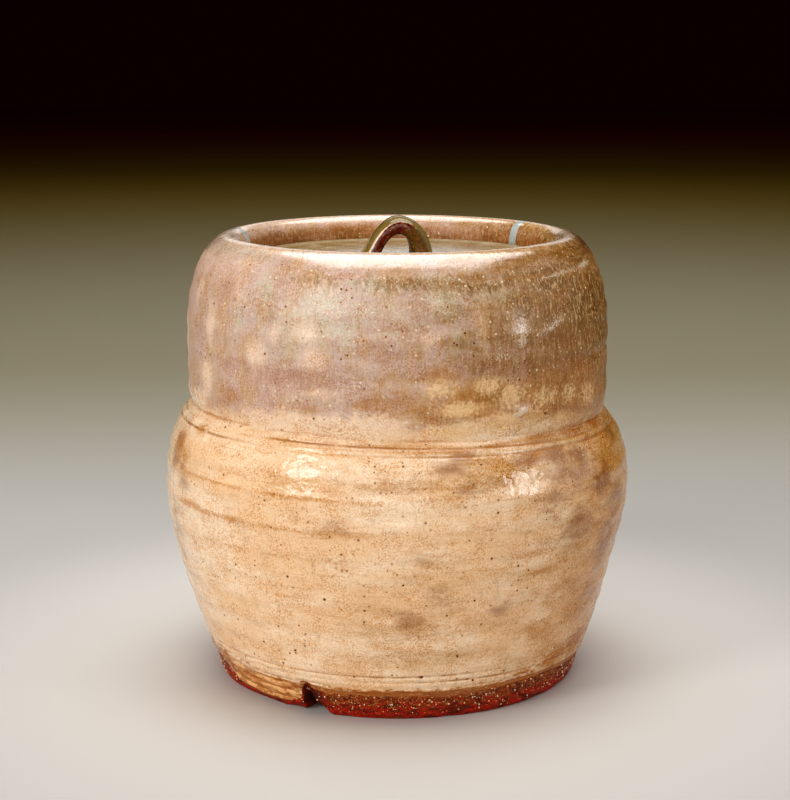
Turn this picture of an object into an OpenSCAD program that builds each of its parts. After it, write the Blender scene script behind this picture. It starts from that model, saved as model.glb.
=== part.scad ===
// Mizusashi: a lidded stoneware jar for fresh water, thrown on the wheel.
// The jar stands on z = 0 with its axis on Z, and its front faces -Y. Lengths are in millimetres.

/* [Jar wall] */
// Radius of the foot where the wall starts
foot_r = 72; // [66:0.2:76]
// Height from the table to the widest part of the belly
belly_rise = 78; // [68:1:90]
// Radius of the belly at its widest
belly_r = 92; // [88:0.5:98]
// Height from the widest part of the belly to the crease of the waist
waist_rise = 31; // [26:1:38]
// Radius in the crease of the waist
waist_r = 81.4; // [77:0.2:82]
// Height from the crease to the start of the shoulder
drum_rise = 29; // [24:1:36]
// Radius of the upper drum
drum_r = 82.8; // [82:0.2:87]
// Height from the start of the shoulder to the crest of the rim
shoulder_rise = 36.8; // [32:0.4:44]
// Radius of the crest of the rim
crest_r = 66; // [64:0.5:70]
// Thickness of the thrown wall, measured level
wall = 7.5; // [5.5:0.5:10]
// Thickness of the floor over the recess under the foot
floor_t = 9; // [6:0.5:14]
// How far the inside rounds up from the floor into the wall
floor_sweep = 30; // [20:1:40]

/* [Foot] */
// Width of the turned foot ring
ring_w = 12; // [8:0.5:16]
// Depth of the recess inside the foot ring
recess_d = 4; // [3:0.5:7]
// Rounding of the foot's edges
foot_round = 1.4; // [0.6:0.2:1.8]
// Height of the bare band that was turned at the foot
foot_band = 11; // [8:0.5:16]
// How far the wall steps out over the turned band
foot_step = 0.9; // [0.4:0.1:1.6]
// Width of the notch torn through the foot ring
notch_w = 13; // [8:0.5:18]
// Height of the notch at its steep side
notch_h = 8.4; // [6:0.2:10]
// Height of the notch at its drawn-out side
notch_low = 3.6; // [2:0.2:5]
// Turn of the notch from the front towards the left, in degrees
notch_turn = 25; // [0:1:90]

/* [Throwing marks] */
// Height of the finger ridges left on the belly by throwing
ridge_h = 0.15; // [0:0.05:0.6]
// Pitch of the finger ridges
ridge_pitch = 9.5; // [6:0.5:14]
// Depth of the lines incised round the waist and the foot
line_d = 0.45; // [0.2:0.05:0.9]
// Width of one incised line
line_w = 1.6; // [1.2:0.2:2.2]
// Distance between incised lines
line_pitch = 2.6; // [2.4:0.1:4]
// Number of lines round the waist
waist_lines = 2; // [1:1:4]
// Number of lines over the turned band
foot_lines = 3; // [1:1:4]

/* [Lid seat] */
// Radius of the well that the lid drops into
well_r = 60; // [56:0.5:62]
// Depth of the lid's ledge below the crest of the rim
seat_drop = 15.2; // [12:0.2:20]
// Width of the ledge that carries the lid
ledge_w = 8; // [5:0.5:12]
// Thickness of the ledge at its lip
ledge_t = 6; // [4:0.5:9]
// Rounding of the ledge's lip
lip_round = 1; // [0.4:0.2:1.8]

/* [Lid] */
// Gap between the edge of the lid and its well
lid_gap = 0.8; // [0.4:0.1:2]
// Thickness of the lid
lid_t = 5.4; // [4:0.2:8]
// Rounding of the lid's lower edge
lid_round = 1; // [0.4:0.2:2]
// Height of the raised edge round the top of the lid
lid_edge_h = 0.8; // [0.4:0.1:1.6]
// Width of the raised edge
lid_edge_w = 4; // [3:0.5:6]
// Depth of the hollow turned under the lid
lid_hollow = 1.4; // [0.6:0.2:2.4]
// How far the hollow stays inside the lip of the ledge
hollow_in = 5; // [2:0.5:12]

/* [Handle] */
// Distance between the middles of the two feet of the strap
handle_span = 19.6; // [17:0.2:30]
// Height of the strap's middle over the lid at the crown
crown_h = 12.3; // [11:0.1:18]
// Width of the strap at the crown
strap_w = 15; // [10:0.5:20]
// Thickness of the strap at the crown
strap_t = 6.2; // [4:0.2:7]
// How much the pulled strap thins to its left foot and thickens to its right one
strap_taper = 1.3; // [0:0.1:2]
// How far the top of the strap is domed across its width
strap_dome = 0.9; // [0:0.1:1.5]
// How much wider the strap is where it is pressed on to the lid
foot_spread = 2.4; // [0:0.2:4]
// How far the left leg leans in before it bends over
left_lean = 3; // [0:0.2:5]
// How far the crown stands to the right of the middle between the feet
crown_off = 1; // [0:0.1:2]
// How far the handle stands to the left of the lid's middle
handle_off = 0.9; // [0:0.1:4]
// Turn of the handle about the upright axis, in degrees
handle_turn = 5; // [0:1:90]

/* [Hidden] */

$fn = 96;
curve_steps = 24;
fine_steps = 64;
round_steps = 6;
// How far a cut runs past the face that it opens
overcut = 1;
strap_rings = 36;
strap_sides = 28;

// Heights and radii of the jar's stations
waist_z = belly_rise + waist_rise;
shoulder_z = waist_z + drum_rise;
crest_z = shoulder_z + shoulder_rise;
seat_z = crest_z - seat_drop;
floor_z = recess_d + floor_t;
recess_r = foot_r - ring_w;
ledge_r = well_r - ledge_w;
lid_r = well_r - lid_gap;
lid_top = seat_z + lid_t;

// A cubic curve from p[0] to p[3], with p[1] and p[2] pulling its ends
function on_curve(p, t) =
    pow(1 - t, 3) * p[0] + 3 * t * pow(1 - t, 2) * p[1] + 3 * t * t * (1 - t) * p[2] + pow(t, 3) * p[3];

// Points along a curve, without its last point, which starts the next stretch
function along(p, steps = curve_steps) = [for (i = [0:steps - 1]) on_curve(p, i / steps)];
// The same where the stretch before has already placed the first point
function onward(p, steps = curve_steps) = [for (i = [1:steps - 1]) on_curve(p, i / steps)];

// Points of an arc about a centre, in degrees
function arc(centre, r, from, to, steps = round_steps) =
    [for (i = [0:steps]) let (a = from + (to - from) * i / steps) centre + r * [cos(a), sin(a)]];

// A point between a and b, and an easy step from 0 to 1
function between(a, b, share) = a + (b - a) * share;
function smooth(x) = let (t = min(1, max(0, x))) t * t * (3 - 2 * t);
function reversed(points) = [for (i = [len(points) - 1:-1:0]) points[i]];

// How far a curve's handles reach along each stretch, as shares of its rise or its reach
quarter_round = 0.55;
third = 0.33;
belly_swell = 0.36;
waist_swell = 0.45;
waist_tuck = [0.29, 0.75];
drum_kick = 0.08;
drum_ease = 0.45;

// The stretches of the outside of the wall, from the foot to the well inside the rim
foot_to_belly = [[foot_r, 0], [between(foot_r, belly_r, belly_swell), belly_rise * third],
                 [belly_r, belly_rise * 2 * third], [belly_r, belly_rise]];
belly_to_waist = [[belly_r, belly_rise], [belly_r, belly_rise + waist_rise * waist_swell],
                  [between(belly_r, waist_r, waist_tuck[0]), belly_rise + waist_rise * waist_tuck[1]],
                  [waist_r, waist_z]];
waist_to_drum = [[waist_r, waist_z], [between(waist_r, drum_r, 2 * third), waist_z + drum_rise * drum_kick],
                 [drum_r, waist_z + drum_rise * 2 * drum_kick], [drum_r, waist_z + drum_rise * drum_ease]];
drum_to_crest = [[drum_r, shoulder_z], [drum_r, shoulder_z + shoulder_rise * quarter_round],
                 [between(crest_r, drum_r, quarter_round), crest_z], [crest_r, crest_z]];
crest_to_well = [[crest_r, crest_z], [between(crest_r, well_r, quarter_round), crest_z],
                 [well_r, between(crest_z, lid_top, third)], [well_r, lid_top]];

// One incised line is a shallow round groove at height z0, and lines repeat it
function line(z, z0) = let (x = (z - z0) / (line_w / 2)) abs(x) < 1 ? -line_d * (1 - x * x) : 0;
function lines(z, z0, count, step) = count == 0 ? 0 : line(z, z0) + lines(z, z0 + step, count - 1, step);

// Finger ridges swell up over the incised lines at the foot and die out under those at the waist
ridges_from = foot_band + line_pitch * (foot_lines + 1);
ridges_to = waist_z - line_pitch * (waist_lines + 1);
function ridges(z) =
    ridge_h * sin(360 * z / ridge_pitch)
    * smooth((z - ridges_from) / ridge_pitch) * smooth((ridges_to - z) / ridge_pitch);

// The turned band lies a step inside the wall above it, with a soft upper edge
function band(z) = -foot_step * (1 - smooth((z - foot_band) / (2 * foot_step)));

function thrown(points) =
    [for (p = points) [p[0] + ridges(p[1]) + band(p[1])
                       + lines(p[1], waist_z - line_pitch, waist_lines, -line_pitch)
                       + lines(p[1], foot_band + line_pitch, foot_lines, line_pitch), p[1]]];

// The inside of the wall follows the outside, one wall thickness in
outer_wall = concat(along(foot_to_belly), along(belly_to_waist), along(waist_to_drum));
wall_low = floor_z + floor_sweep * third;
inner_wall = [for (p = outer_wall) if (p[1] > wall_low) p - [wall, 0]];
inner_foot = inner_wall[0];
inner_top = [drum_r - wall, waist_z + drum_rise * drum_ease];

// From the lip of the ledge out to the drum's wall, and from the belly's wall in to the floor
under_ledge = [[ledge_r + lip_round, seat_z - ledge_t],
               [between(ledge_r, inner_top[0], 2 * third), seat_z - ledge_t],
               [inner_top[0], between(seat_z - ledge_t, inner_top[1], third)], inner_top];
wall_lean = (inner_wall[1][0] - inner_foot[0]) / (inner_wall[1][1] - inner_foot[1]);
sweep_drop = inner_foot[1] - floor_z;
wall_to_floor = [inner_foot, inner_foot - quarter_round * sweep_drop * [wall_lean, 1],
                 [inner_foot[0] - floor_sweep * quarter_round, floor_z],
                 [inner_foot[0] - floor_sweep, floor_z]];

jar_outline = concat(
    [[0, recess_d]],
    arc([recess_r - foot_round, recess_d - foot_round], foot_round, 90, 0),
    arc([recess_r + foot_round, foot_round], foot_round, 180, 270),
    arc([foot_r - foot_step - foot_round, foot_round], foot_round, -90, 0),
    thrown([for (p = along(foot_to_belly, 2 * fine_steps)) if (p[1] > foot_round) p]),
    thrown(along(belly_to_waist, fine_steps)),
    along(waist_to_drum),
    [inner_top + [wall, 0]],
    along(drum_to_crest),
    along(crest_to_well),
    [[well_r, lid_top], [well_r, seat_z]],
    arc([ledge_r + lip_round, seat_z - lip_round], lip_round, 90, 180),
    arc([ledge_r + lip_round, seat_z - ledge_t + lip_round], lip_round, 180, 270),
    onward(under_ledge),
    [inner_top],
    reversed(inner_wall),
    onward(wall_to_floor),
    [wall_to_floor[3], [0, floor_z]]
);

// The notch is steep on its left, then falls to a low gap that is drawn out to the right
notch_peak = -0.27 * notch_w;
notch_fall = 0.05 * notch_w;
notch_outline = concat(
    along([[-notch_w / 2, -overcut], [-notch_w / 2, notch_h * 2 * third],
           [between(-notch_w / 2, notch_peak, third), notch_h], [notch_peak, notch_h]]),
    along([[notch_peak, notch_h], [between(notch_peak, notch_fall, quarter_round), notch_h],
           [between(notch_peak, notch_fall, third), notch_low], [notch_fall, notch_low]]),
    along([[notch_fall, notch_low], [between(notch_fall, notch_w / 2, quarter_round), notch_low],
           [notch_w / 2, notch_low * quarter_round], [notch_w / 2, -overcut]]),
    [[notch_w / 2, -overcut]]
);

// The cut starts just inside the recess and runs out through the ring
module foot_notch() {
    rotate([0, 0, -notch_turn])
        translate([0, overcut - recess_r, 0])
            rotate([90, 0, 0])
                linear_extrude(2 * ring_w) polygon(notch_outline);
}

module jar_body() {
    color("burlywood")
        difference() {
            rotate_extrude() polygon(jar_outline);
            foot_notch();
        }
}

// The lid is a thrown disc with a raised edge, hollowed a little underneath
hollow_r = ledge_r - hollow_in;
hollow_slope = 4 * lid_hollow;
lid_outline = concat(
    [[0, seat_z + lid_hollow], [hollow_r - hollow_slope, seat_z + lid_hollow], [hollow_r, seat_z]],
    arc([lid_r - lid_round, seat_z + lid_round], lid_round, -90, 0),
    arc([lid_r - lid_edge_h, lid_top], lid_edge_h, 0, 90),
    onward([[lid_r - lid_edge_h, lid_top + lid_edge_h],
            [lid_r - lid_edge_w * quarter_round, lid_top + lid_edge_h],
            [lid_r - lid_edge_w * 2 * third, lid_top], [lid_r - lid_edge_w, lid_top]]),
    [[lid_r - lid_edge_w, lid_top], [0, lid_top]]
);

module lid_disc() {
    color("tan") rotate_extrude() polygon(lid_outline);
}

// The middle of the strap goes up from the left foot, over the crown and down to the right foot
foot_x = handle_span / 2;
left_half = [[-foot_x, 0], [left_lean - foot_x, crown_h * quarter_round],
             [between(crown_off, -foot_x, third), crown_h], [crown_off, crown_h]];
right_half = [[crown_off, crown_h], [between(crown_off, foot_x, quarter_round), crown_h],
              [foot_x, crown_h * quarter_round], [foot_x, 0]];

function strap_mid(t) = t < 0.5 ? on_curve(left_half, 2 * t) : on_curve(right_half, 2 * t - 1);
function strap_way(t) =
    let (d = strap_mid(min(1, t + 0.01)) - strap_mid(max(0, t - 0.01)))
    t == 0 ? [0, 1] : t == 1 ? [0, -1] : d / norm(d);

// A flat oval with full sides, whose exponent fills out the corners
side_fill = 0.62;
function filled(x) = pow(abs(x), side_fill) * sign(x);

function strap_ring(t) =
    let (mid = strap_mid(t), way = strap_way(t), side = [-way[1], way[0]],
         spread = pow(abs(2 * t - 1), 4) * foot_spread,
         half_t = (strap_t + strap_taper * (2 * t - 1)) / 2, half_w = (strap_w + spread) / 2)
    [for (i = [0:strap_sides - 1])
        let (a = 360 * i / strap_sides, across = filled(sin(a)),
             out = filled(cos(a)) * (half_t + (cos(a) > 0 ? strap_dome * (1 - across * across) : 0)))
        [mid[0] + side[0] * out, across * half_w, mid[1] + side[1] * out]];

module lid_handle() {
    rings = [for (i = [0:strap_rings]) strap_ring(i / strap_rings)];
    points = [for (ring = rings) each ring];
    sides = [for (i = [0:strap_rings - 1], j = [0:strap_sides - 1])
        let (a = i * strap_sides + j, b = i * strap_sides + (j + 1) % strap_sides)
        each [[a, b, b + strap_sides], [a, b + strap_sides, a + strap_sides]]];
    ends = [[for (j = [strap_sides - 1:-1:0]) j],
            [for (j = [0:strap_sides - 1]) strap_rings * strap_sides + j]];
    color("saddlebrown")
        translate([-handle_off, 0, lid_top])
            rotate([0, 0, handle_turn])
                polyhedron(points, concat(sides, ends));
}

jar_body();
lid_disc();
lid_handle();
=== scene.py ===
import math

import bpy
import numpy as np
from bpy.props import FloatProperty, FloatVectorProperty, IntProperty, PointerProperty
from bpy.types import Operator, Panel, PropertyGroup
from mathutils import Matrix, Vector


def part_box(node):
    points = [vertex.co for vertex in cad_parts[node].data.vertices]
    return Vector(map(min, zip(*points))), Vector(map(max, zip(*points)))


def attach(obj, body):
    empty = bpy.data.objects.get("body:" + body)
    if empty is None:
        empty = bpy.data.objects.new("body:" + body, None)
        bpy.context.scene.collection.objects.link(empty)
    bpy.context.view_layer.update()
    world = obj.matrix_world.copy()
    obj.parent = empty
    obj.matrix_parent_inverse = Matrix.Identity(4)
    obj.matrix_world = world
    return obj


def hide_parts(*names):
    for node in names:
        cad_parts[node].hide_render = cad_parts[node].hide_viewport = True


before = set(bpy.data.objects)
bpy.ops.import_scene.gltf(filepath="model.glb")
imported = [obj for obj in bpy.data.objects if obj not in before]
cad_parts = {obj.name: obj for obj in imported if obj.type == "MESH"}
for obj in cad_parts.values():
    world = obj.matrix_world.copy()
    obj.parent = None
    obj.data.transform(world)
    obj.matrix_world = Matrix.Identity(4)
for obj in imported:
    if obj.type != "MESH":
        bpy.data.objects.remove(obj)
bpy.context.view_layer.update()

bl_info = {
    "name": "Thrown Water Jar",
    "version": (1, 0, 0),
    "blender": (4, 5, 0),
    "location": "View3D > Sidebar > Water Jar",
    "description": "Throws, glazes and sets out a lidded stoneware water jar on its packed solids",
    "category": "Object",
}

MM = 0.001
FULL_TURN = 2 * math.pi
DEGREE = math.radians(1)
MOST_TRIANGLES = 200_000

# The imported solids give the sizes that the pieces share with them.
_, JAR_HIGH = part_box("jar_body")
LID_LOW, LID_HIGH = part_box("lid_disc")
STRAP_LOW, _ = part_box("lid_handle")


# Sizes and colours that a user would change. Each is labelled by its own name.

def asked(kind, about, **settings):
    """A property that is made as soon as its label is known."""
    return lambda label: kind(name=label, description=about, **settings)


def length(default, about, least=0.0):
    return asked(FloatProperty, about, default=default, min=least, unit="LENGTH", precision=5)


def turn(degrees, about):
    return asked(FloatProperty, about, default=math.radians(degrees), unit="ROTATION")


def share(default, about):
    return asked(FloatProperty, about, default=default, min=0.0, max=1.0, subtype="FACTOR")


def power(default, about):
    return asked(FloatProperty, about, default=default, min=0.0, unit="POWER")


def plain(default, about):
    return asked(FloatProperty, about, default=default, min=0.0)


def whole(default, about, least=0):
    return asked(IntProperty, about, default=default, min=least)


def tint(red, green, blue, about):
    return asked(FloatVectorProperty, about, default=(red, green, blue), size=3, min=0.0, max=1.0,
                 subtype="COLOR")


def labelled(group):
    """Labels every property of a group by its name."""
    for key, made_as in group.__annotations__.items():
        group.__annotations__[key] = made_as(key.replace("_", " ").capitalize())
    return group


@labelled
class WallSizes(PropertyGroup):
    """The thrown wall of the jar, from foot to floor."""
    foot_radius: length(72 * MM, "Radius where the wall starts at the foot")
    belly_height: length(78 * MM, "Height of the widest part of the belly")
    belly_radius: length(JAR_HIGH.x - 0.15 * MM, "Radius of the belly without its ridges")
    waist_height: length(109 * MM, "Height of the crease at the waist")
    waist_radius: length(81.4 * MM, "Radius in the crease")
    drum_height: length(122.05 * MM, "Height where the drum is at its full radius")
    drum_radius: length(82.8 * MM, "Radius of the upper drum")
    shoulder_height: length(138 * MM, "Height where the wall starts to roll in")
    crest_height: length(JAR_HIGH.z, "Height of the crest of the rim")
    crest_radius: length(66 * MM, "Radius of the crest of the rim")
    well_radius: length(LID_HIGH.x + 0.8 * MM, "Radius of the well that takes the lid")
    seat_height: length(LID_LOW.z, "Height of the ledge that carries the lid")
    ledge_width: length(8 * MM, "Width of the ledge")
    ledge_thickness: length(6 * MM, "Thickness of the ledge at its lip")
    wall: length(7.5 * MM, "Thickness of the wall, measured level")
    floor_height: length(13 * MM, "Height of the floor inside")
    crease_tilt: length(1.5 * MM, "How far the crease dips to the right and rises to the left")
    right_dent: length(1.3 * MM, "How far the lower belly is flattened on its right")
    columns: whole(316, "Faces once round the jar", 64)


@labelled
class FootSizes(PropertyGroup):
    """The turned foot with its torn notch."""
    ring_width: length(12 * MM, "Width of the foot ring")
    recess: length(4 * MM, "Depth of the recess inside the ring")
    edge: length(1.4 * MM, "Rounding of the foot's edges")
    band: length(11 * MM, "Height of the bare turned band")
    step: length(0.9 * MM, "How far the wall steps out over the band")
    notch_turn: turn(-25, "Where the notch is, from the front towards the right")
    notch_height: length(8.4 * MM, "Height of the notch at its steep side")
    notch_low: length(3.6 * MM, "Height of the notch at its drawn-out side")
    notch_width: length(13 * MM, "Width of the notch along the foot")
    chips: length(0.8 * MM, "Depth of the chips along the lower edge")


@labelled
class MarkSizes(PropertyGroup):
    """The marks that throwing and turning left on the wall."""
    ridge_height: length(0.15 * MM, "Height of the finger ridges on the belly")
    ridge_pitch: length(9.5 * MM, "How far the finger ridges climb in one turn")
    wave_height: length(0.09 * MM, "Height of the slow waves in the glazed wall")
    wave_size: length(11 * MM, "Width of those waves")
    line_depth: length(0.45 * MM, "Depth of the incised lines")
    line_width: length(1.5 * MM, "Width of an incised line")
    line_pitch: length(2.6 * MM, "Distance between incised lines")
    waist_lines: whole(2, "Lines under the crease")
    foot_lines: whole(3, "Lines over the turned band")
    seed: whole(7, "Seed of the waves and wanderings")


@labelled
class LidSizes(PropertyGroup):
    """The thrown lid."""
    radius: length(LID_HIGH.x, "Radius of the lid")
    under: length(LID_LOW.z, "Height of the face that rests on the ledge")
    top: length(STRAP_LOW.z, "Height of the lid's top")
    edge_height: length(LID_HIGH.z - STRAP_LOW.z, "Height of the raised edge")
    edge_width: length(4 * MM, "Width of the raised edge")
    round_under: length(1 * MM, "Rounding of the lower edge")
    hollow: length(1.4 * MM, "Depth of the hollow turned underneath")
    hollow_radius: length(47 * MM, "Radius of that hollow")
    ring_height: length(0.08 * MM, "Height of the throwing rings on top")
    ring_pitch: length(5.2 * MM, "Distance between the throwing rings")
    columns: whole(192, "Faces once round the lid", 64)


@labelled
class StrapSizes(PropertyGroup):
    """The pulled strap on the lid."""
    span: length(19.6 * MM, "Distance between the middles of the feet")
    crown: length(12.3 * MM, "Height of the strap's middle at the crown")
    width: length(15 * MM, "Width of the strap at the crown")
    thickness: length(6.2 * MM, "Thickness of the strap at the crown")
    taper: length(1.3 * MM, "How much the strap thins to its left foot")
    dome: length(0.9 * MM, "How far the top is domed across its width")
    foot_spread: length(2.4 * MM, "How much wider the feet are pressed")
    left_lean: length(3 * MM, "How far the left leg leans in")
    crown_off: length(1 * MM, "How far the crown stands to the right")
    offset: length(0.9 * MM, "How far the strap stands to the left of the lid's middle")
    turn: turn(5, "Turn of the strap about the upright axis")
    steps: whole(96, "Faces along the strap", 8)
    sides: whole(56, "Faces round the strap", 8)


@labelled
class GritSizes(PropertyGroup):
    """The feldspar grains that stand out of the bare clay."""
    density: plain(300000.0, "Grains on a square metre of bare clay")
    smallest: length(0.1 * MM, "Radius of the smallest grain")
    largest: length(0.52 * MM, "Radius of the largest grain")
    seed: whole(11, "Seed of the places of the grains")


@labelled
class GlazeTints(PropertyGroup):
    """The colours of the glazes, the clay and the floor."""
    cream: tint(0.95, 0.75, 0.545, "Cream slip of the belly")
    peach: tint(0.88, 0.60, 0.36, "Peach where the slip is thin")
    band: tint(0.60, 0.28, 0.08, "Brown that lies along the throwing lines")
    mauve: tint(0.50, 0.30, 0.22, "Mauve blush of the drum")
    belly_mauve: tint(0.43, 0.235, 0.14, "Mauve blush of the belly")
    rose: tint(0.59, 0.43, 0.378, "Rose brown of the drum")
    tawny: tint(0.47, 0.265, 0.11, "Tawny brown of the drum")
    pale_tawny: tint(0.57, 0.37, 0.22, "Tawny brown where the drum is not stained")
    ash: tint(0.60, 0.545, 0.42, "Grey wood ash")
    iron: tint(0.44, 0.18, 0.045, "Iron brown under the drum")
    ember: tint(0.54, 0.26, 0.075, "Iron brown low on the drum's right")
    olive: tint(0.22, 0.125, 0.02, "Olive ash on the right")
    blob: tint(0.88, 0.67, 0.50, "Cream blobs in the drum's glaze")
    ochre: tint(0.88, 0.61, 0.33, "Those blobs where the glaze is stained")
    # These two darken the glaze where it is stained, partly as painted shade on the right
    drum_stain: tint(0.60, 0.47, 0.17, "Stain that darkens the drum")
    belly_stain: tint(0.67, 0.48, 0.23, "Stain that darkens the belly")
    fleck: tint(0.26, 0.10, 0.025, "Dark flecks in the stain")
    run: tint(0.20, 0.11, 0.02, "Dark runs down the stained drum")
    sand: tint(0.70, 0.41, 0.17, "Sandy grain that darkens the glaze")
    line: tint(0.40, 0.17, 0.05, "Glaze gathered in incised lines")
    pale_speck: tint(0.90, 0.70, 0.48, "Pale specks, mostly on the drum")
    speck: tint(0.10, 0.024, 0.0, "Iron specks")
    # grain also paints the glints and some painted highlights on the jar
    grain: tint(0.86, 0.74, 0.58, "White specks and feldspar")
    clay: tint(0.62, 0.025, 0.001, "Bare red clay of the foot")
    umber: tint(0.30, 0.055, 0.002, "Thin brown wash over the bare clay")
    gold: tint(0.44, 0.155, 0.015, "That wash over the turned band")
    tan: tint(0.80, 0.43, 0.165, "Torn clay left of the notch")
    rust: tint(0.42, 0.13, 0.01, "Rusty mottles in the torn clay")
    # drip also paints the pale reflection on the lid
    drip: tint(0.42, 0.45, 0.42, "Pale drips inside the rim, and the pool on the lid")
    lid: tint(0.21, 0.15, 0.065, "Grey-olive glaze of the lid")
    # strap_dark also paints the notch dark, partly as painted shade in its pit
    strap_dark: tint(0.10, 0.008, 0.0, "Dark red-brown of the strap and of lumps in the clay")
    strap_olive: tint(0.115, 0.056, 0.0, "Olive side of the strap")
    strap_top: tint(0.19, 0.14, 0.045, "Ash on the strap's top")
    floor: tint(0.432, 0.416, 0.394, "Pale studio floor")
    # Painted light that fills the jar's shadow near it, then painted shade, darker further behind the jar
    floor_near: tint(0.61, 0.58, 0.54, "The floor close to the jar")
    floor_dusk: tint(0.255, 0.230, 0.16, "The floor's paper behind the jar")
    floor_night: tint(0.22, 0.15, 0.008, "The floor's paper far behind the jar")
    floor_end: tint(0.25, 0.004, 0.0, "The floor's paper at its far end")
    room: tint(1.0, 0.03, 0.02, "The room outside the lights")


@labelled
class StageSizes(PropertyGroup):
    """The camera, the lights and the floor."""
    camera_side: length(-0.98 * MM, "Camera's place across", -1.0)
    camera_distance: length(0.765, "Level distance from the jar's axis to the camera")
    camera_height: length(0.2608, "Height of the camera")
    camera_pitch: turn(11.32, "How far the camera looks down")
    lens: plain(88.02, "Focal length in millimetres")
    floor_size: length(9.0, "Side of the floor")
    overhead: power(26.0, "Power of the softbox over the jar")
    left_key: power(6.4, "Power of the softbox on the left")
    right_fill: power(2.0, "Power of the softbox on the right")
    front_fill: power(12.5, "Power of the broad weak light in front")
    walls: power(6.0, "Power of the broad weak light on each side")
    back_fill: power(1.5, "Power of the weak light behind")
    gloom: share(0.010, "Brightness of the room outside the lights")


# Small tools for shapes

def between(a, b, amount):
    return a + (b - a) * amount


def smooth(x):
    """A soft step from 0 to 1 while x goes from 0 to 1."""
    x = np.clip(x, 0.0, 1.0)
    return x * x * (3 - 2 * x)


def bell(x, power_of=2):
    """A soft bump, 1 where x is 0 and nearly gone where x is 2. A higher power flattens its top."""
    return np.exp(-x ** power_of)


def curve(p0, p1, p2, p3, steps=96):
    """Points along a cubic curve."""
    t = np.linspace(0, 1, steps)[:, None]
    p0, p1, p2, p3 = (np.array(p, float) for p in (p0, p1, p2, p3))
    return (1 - t) ** 3 * p0 + 3 * t * (1 - t) ** 2 * p1 + 3 * t * t * (1 - t) * p2 + t ** 3 * p3


def spaced(points, gap):
    """The same line with its points about gap apart, and its ends kept. gap may follow the height."""
    steps = np.linalg.norm(np.diff(points, axis=0), axis=1)
    middles = (points[1:] + points[:-1]) / 2
    gaps = np.array([gap(m[1]) for m in middles]) if callable(gap) else np.full(len(middles), gap)
    way = np.concatenate([[0], np.cumsum(steps / gaps)])
    at = np.linspace(0, way[-1], max(2, int(round(way[-1])) + 1))
    return np.stack([np.interp(at, way, points[:, k]) for k in range(2)], 1)


def straight(start, stop, gap):
    """Points from start to stop, about gap apart."""
    return spaced(np.array([start, stop]), gap)


def arc(centre, radius, start, stop, gap, steps=24):
    """Points along part of a circle from one degree to another, about gap apart."""
    a = np.radians(np.linspace(start, stop, steps))
    return spaced(np.array(centre) + radius * np.stack([np.cos(a), np.sin(a)], 1), gap)


def wander(angles, seed, waves):
    """A smooth wandering value that closes on itself once round."""
    rng = np.random.default_rng(seed)
    total = np.zeros_like(angles)
    for wave in waves:
        total += np.cos(wave * angles + rng.uniform(0, FULL_TURN)) * rng.uniform(0.5, 1.0)
    return total / math.sqrt(len(waves))


def turned_grid(outline, angles):
    """Angle, radius and height of every point of an outline turned about the axis, in rings."""
    shape = (len(outline), len(angles))
    return [np.broadcast_to(values, shape).copy() for values in (angles, outline[:, :1], outline[:, 1:])]


def standing(a, r, z):
    """Points in space by angle from the front, radius and height."""
    return np.stack([r * np.sin(a), -r * np.cos(a), z], -1)


def flat(values):
    """One value per point of a turned grid in the order of its mesh, with one for each pole."""
    inner = values[1:-1].reshape(-1, *values.shape[2:])
    return np.concatenate([values[:1, 0], inner, values[-1:, 0]])


def lathe(rings, columns):
    """Faces of a turned grid, whose first and last rings are single points."""
    last = rings - 2

    def at(ring, column):
        return 1 + (ring - 1) * columns + column % columns

    faces = [(0, at(1, j + 1), at(1, j)) for j in range(columns)]
    faces += [(at(i, j), at(i, j + 1), at(i + 1, j + 1), at(i + 1, j))
              for i in range(1, last) for j in range(columns)]
    return faces + [(at(last, j), at(last, j + 1), at(last + 1, 0)) for j in range(columns)]


def plain_mesh(name, points, faces, material=None):
    """A new smooth object at the origin from points and faces."""
    mesh = bpy.data.meshes.new(name)
    mesh.from_pydata([tuple(p) for p in points], [], faces)
    mesh.validate()
    mesh.polygons.foreach_set("use_smooth", np.ones(len(mesh.polygons), bool))
    mesh.update()
    if material is not None:
        mesh.materials.append(bpy.data.materials[material])
    piece = bpy.data.objects.new(name, mesh)
    bpy.context.scene.collection.objects.link(piece)
    return piece


def paint(piece, name, *layers):
    """Keeps one number per point, or four, on the piece for its glaze to read."""
    four = len(layers) > 1
    values = np.stack(layers, -1) if four else layers[0]
    kept = piece.data.attributes.new(name, "FLOAT_COLOR" if four else "FLOAT", "POINT")
    kept.data.foreach_set("color" if four else "value", values.astype(np.float32).ravel())


def finished(piece):
    """Turns what the modifiers make into the piece's own plain mesh."""
    bpy.context.view_layer.update()
    graph = bpy.context.evaluated_depsgraph_get()
    mesh = bpy.data.meshes.new_from_object(piece.evaluated_get(graph), preserve_all_data_layers=True,
                                           depsgraph=graph)
    old = piece.data
    piece.modifiers.clear()
    piece.data = mesh
    mesh.name = piece.name
    bpy.data.meshes.remove(old)
    triangles = sum(len(p.vertices) - 2 for p in mesh.polygons)
    if not 0 < triangles < MOST_TRIANGLES:
        raise RuntimeError(f"{piece.name} came out with {triangles} triangles")
    mesh.polygons.foreach_set("use_smooth", np.ones(len(mesh.polygons), bool))


def set_out(piece, body, slot, *nodes):
    """Puts a finished piece on its body and in place of its solids. Its slot is not used."""
    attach(piece, body)
    if nodes:
        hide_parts(*nodes)


# Small tools for nodes

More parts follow.
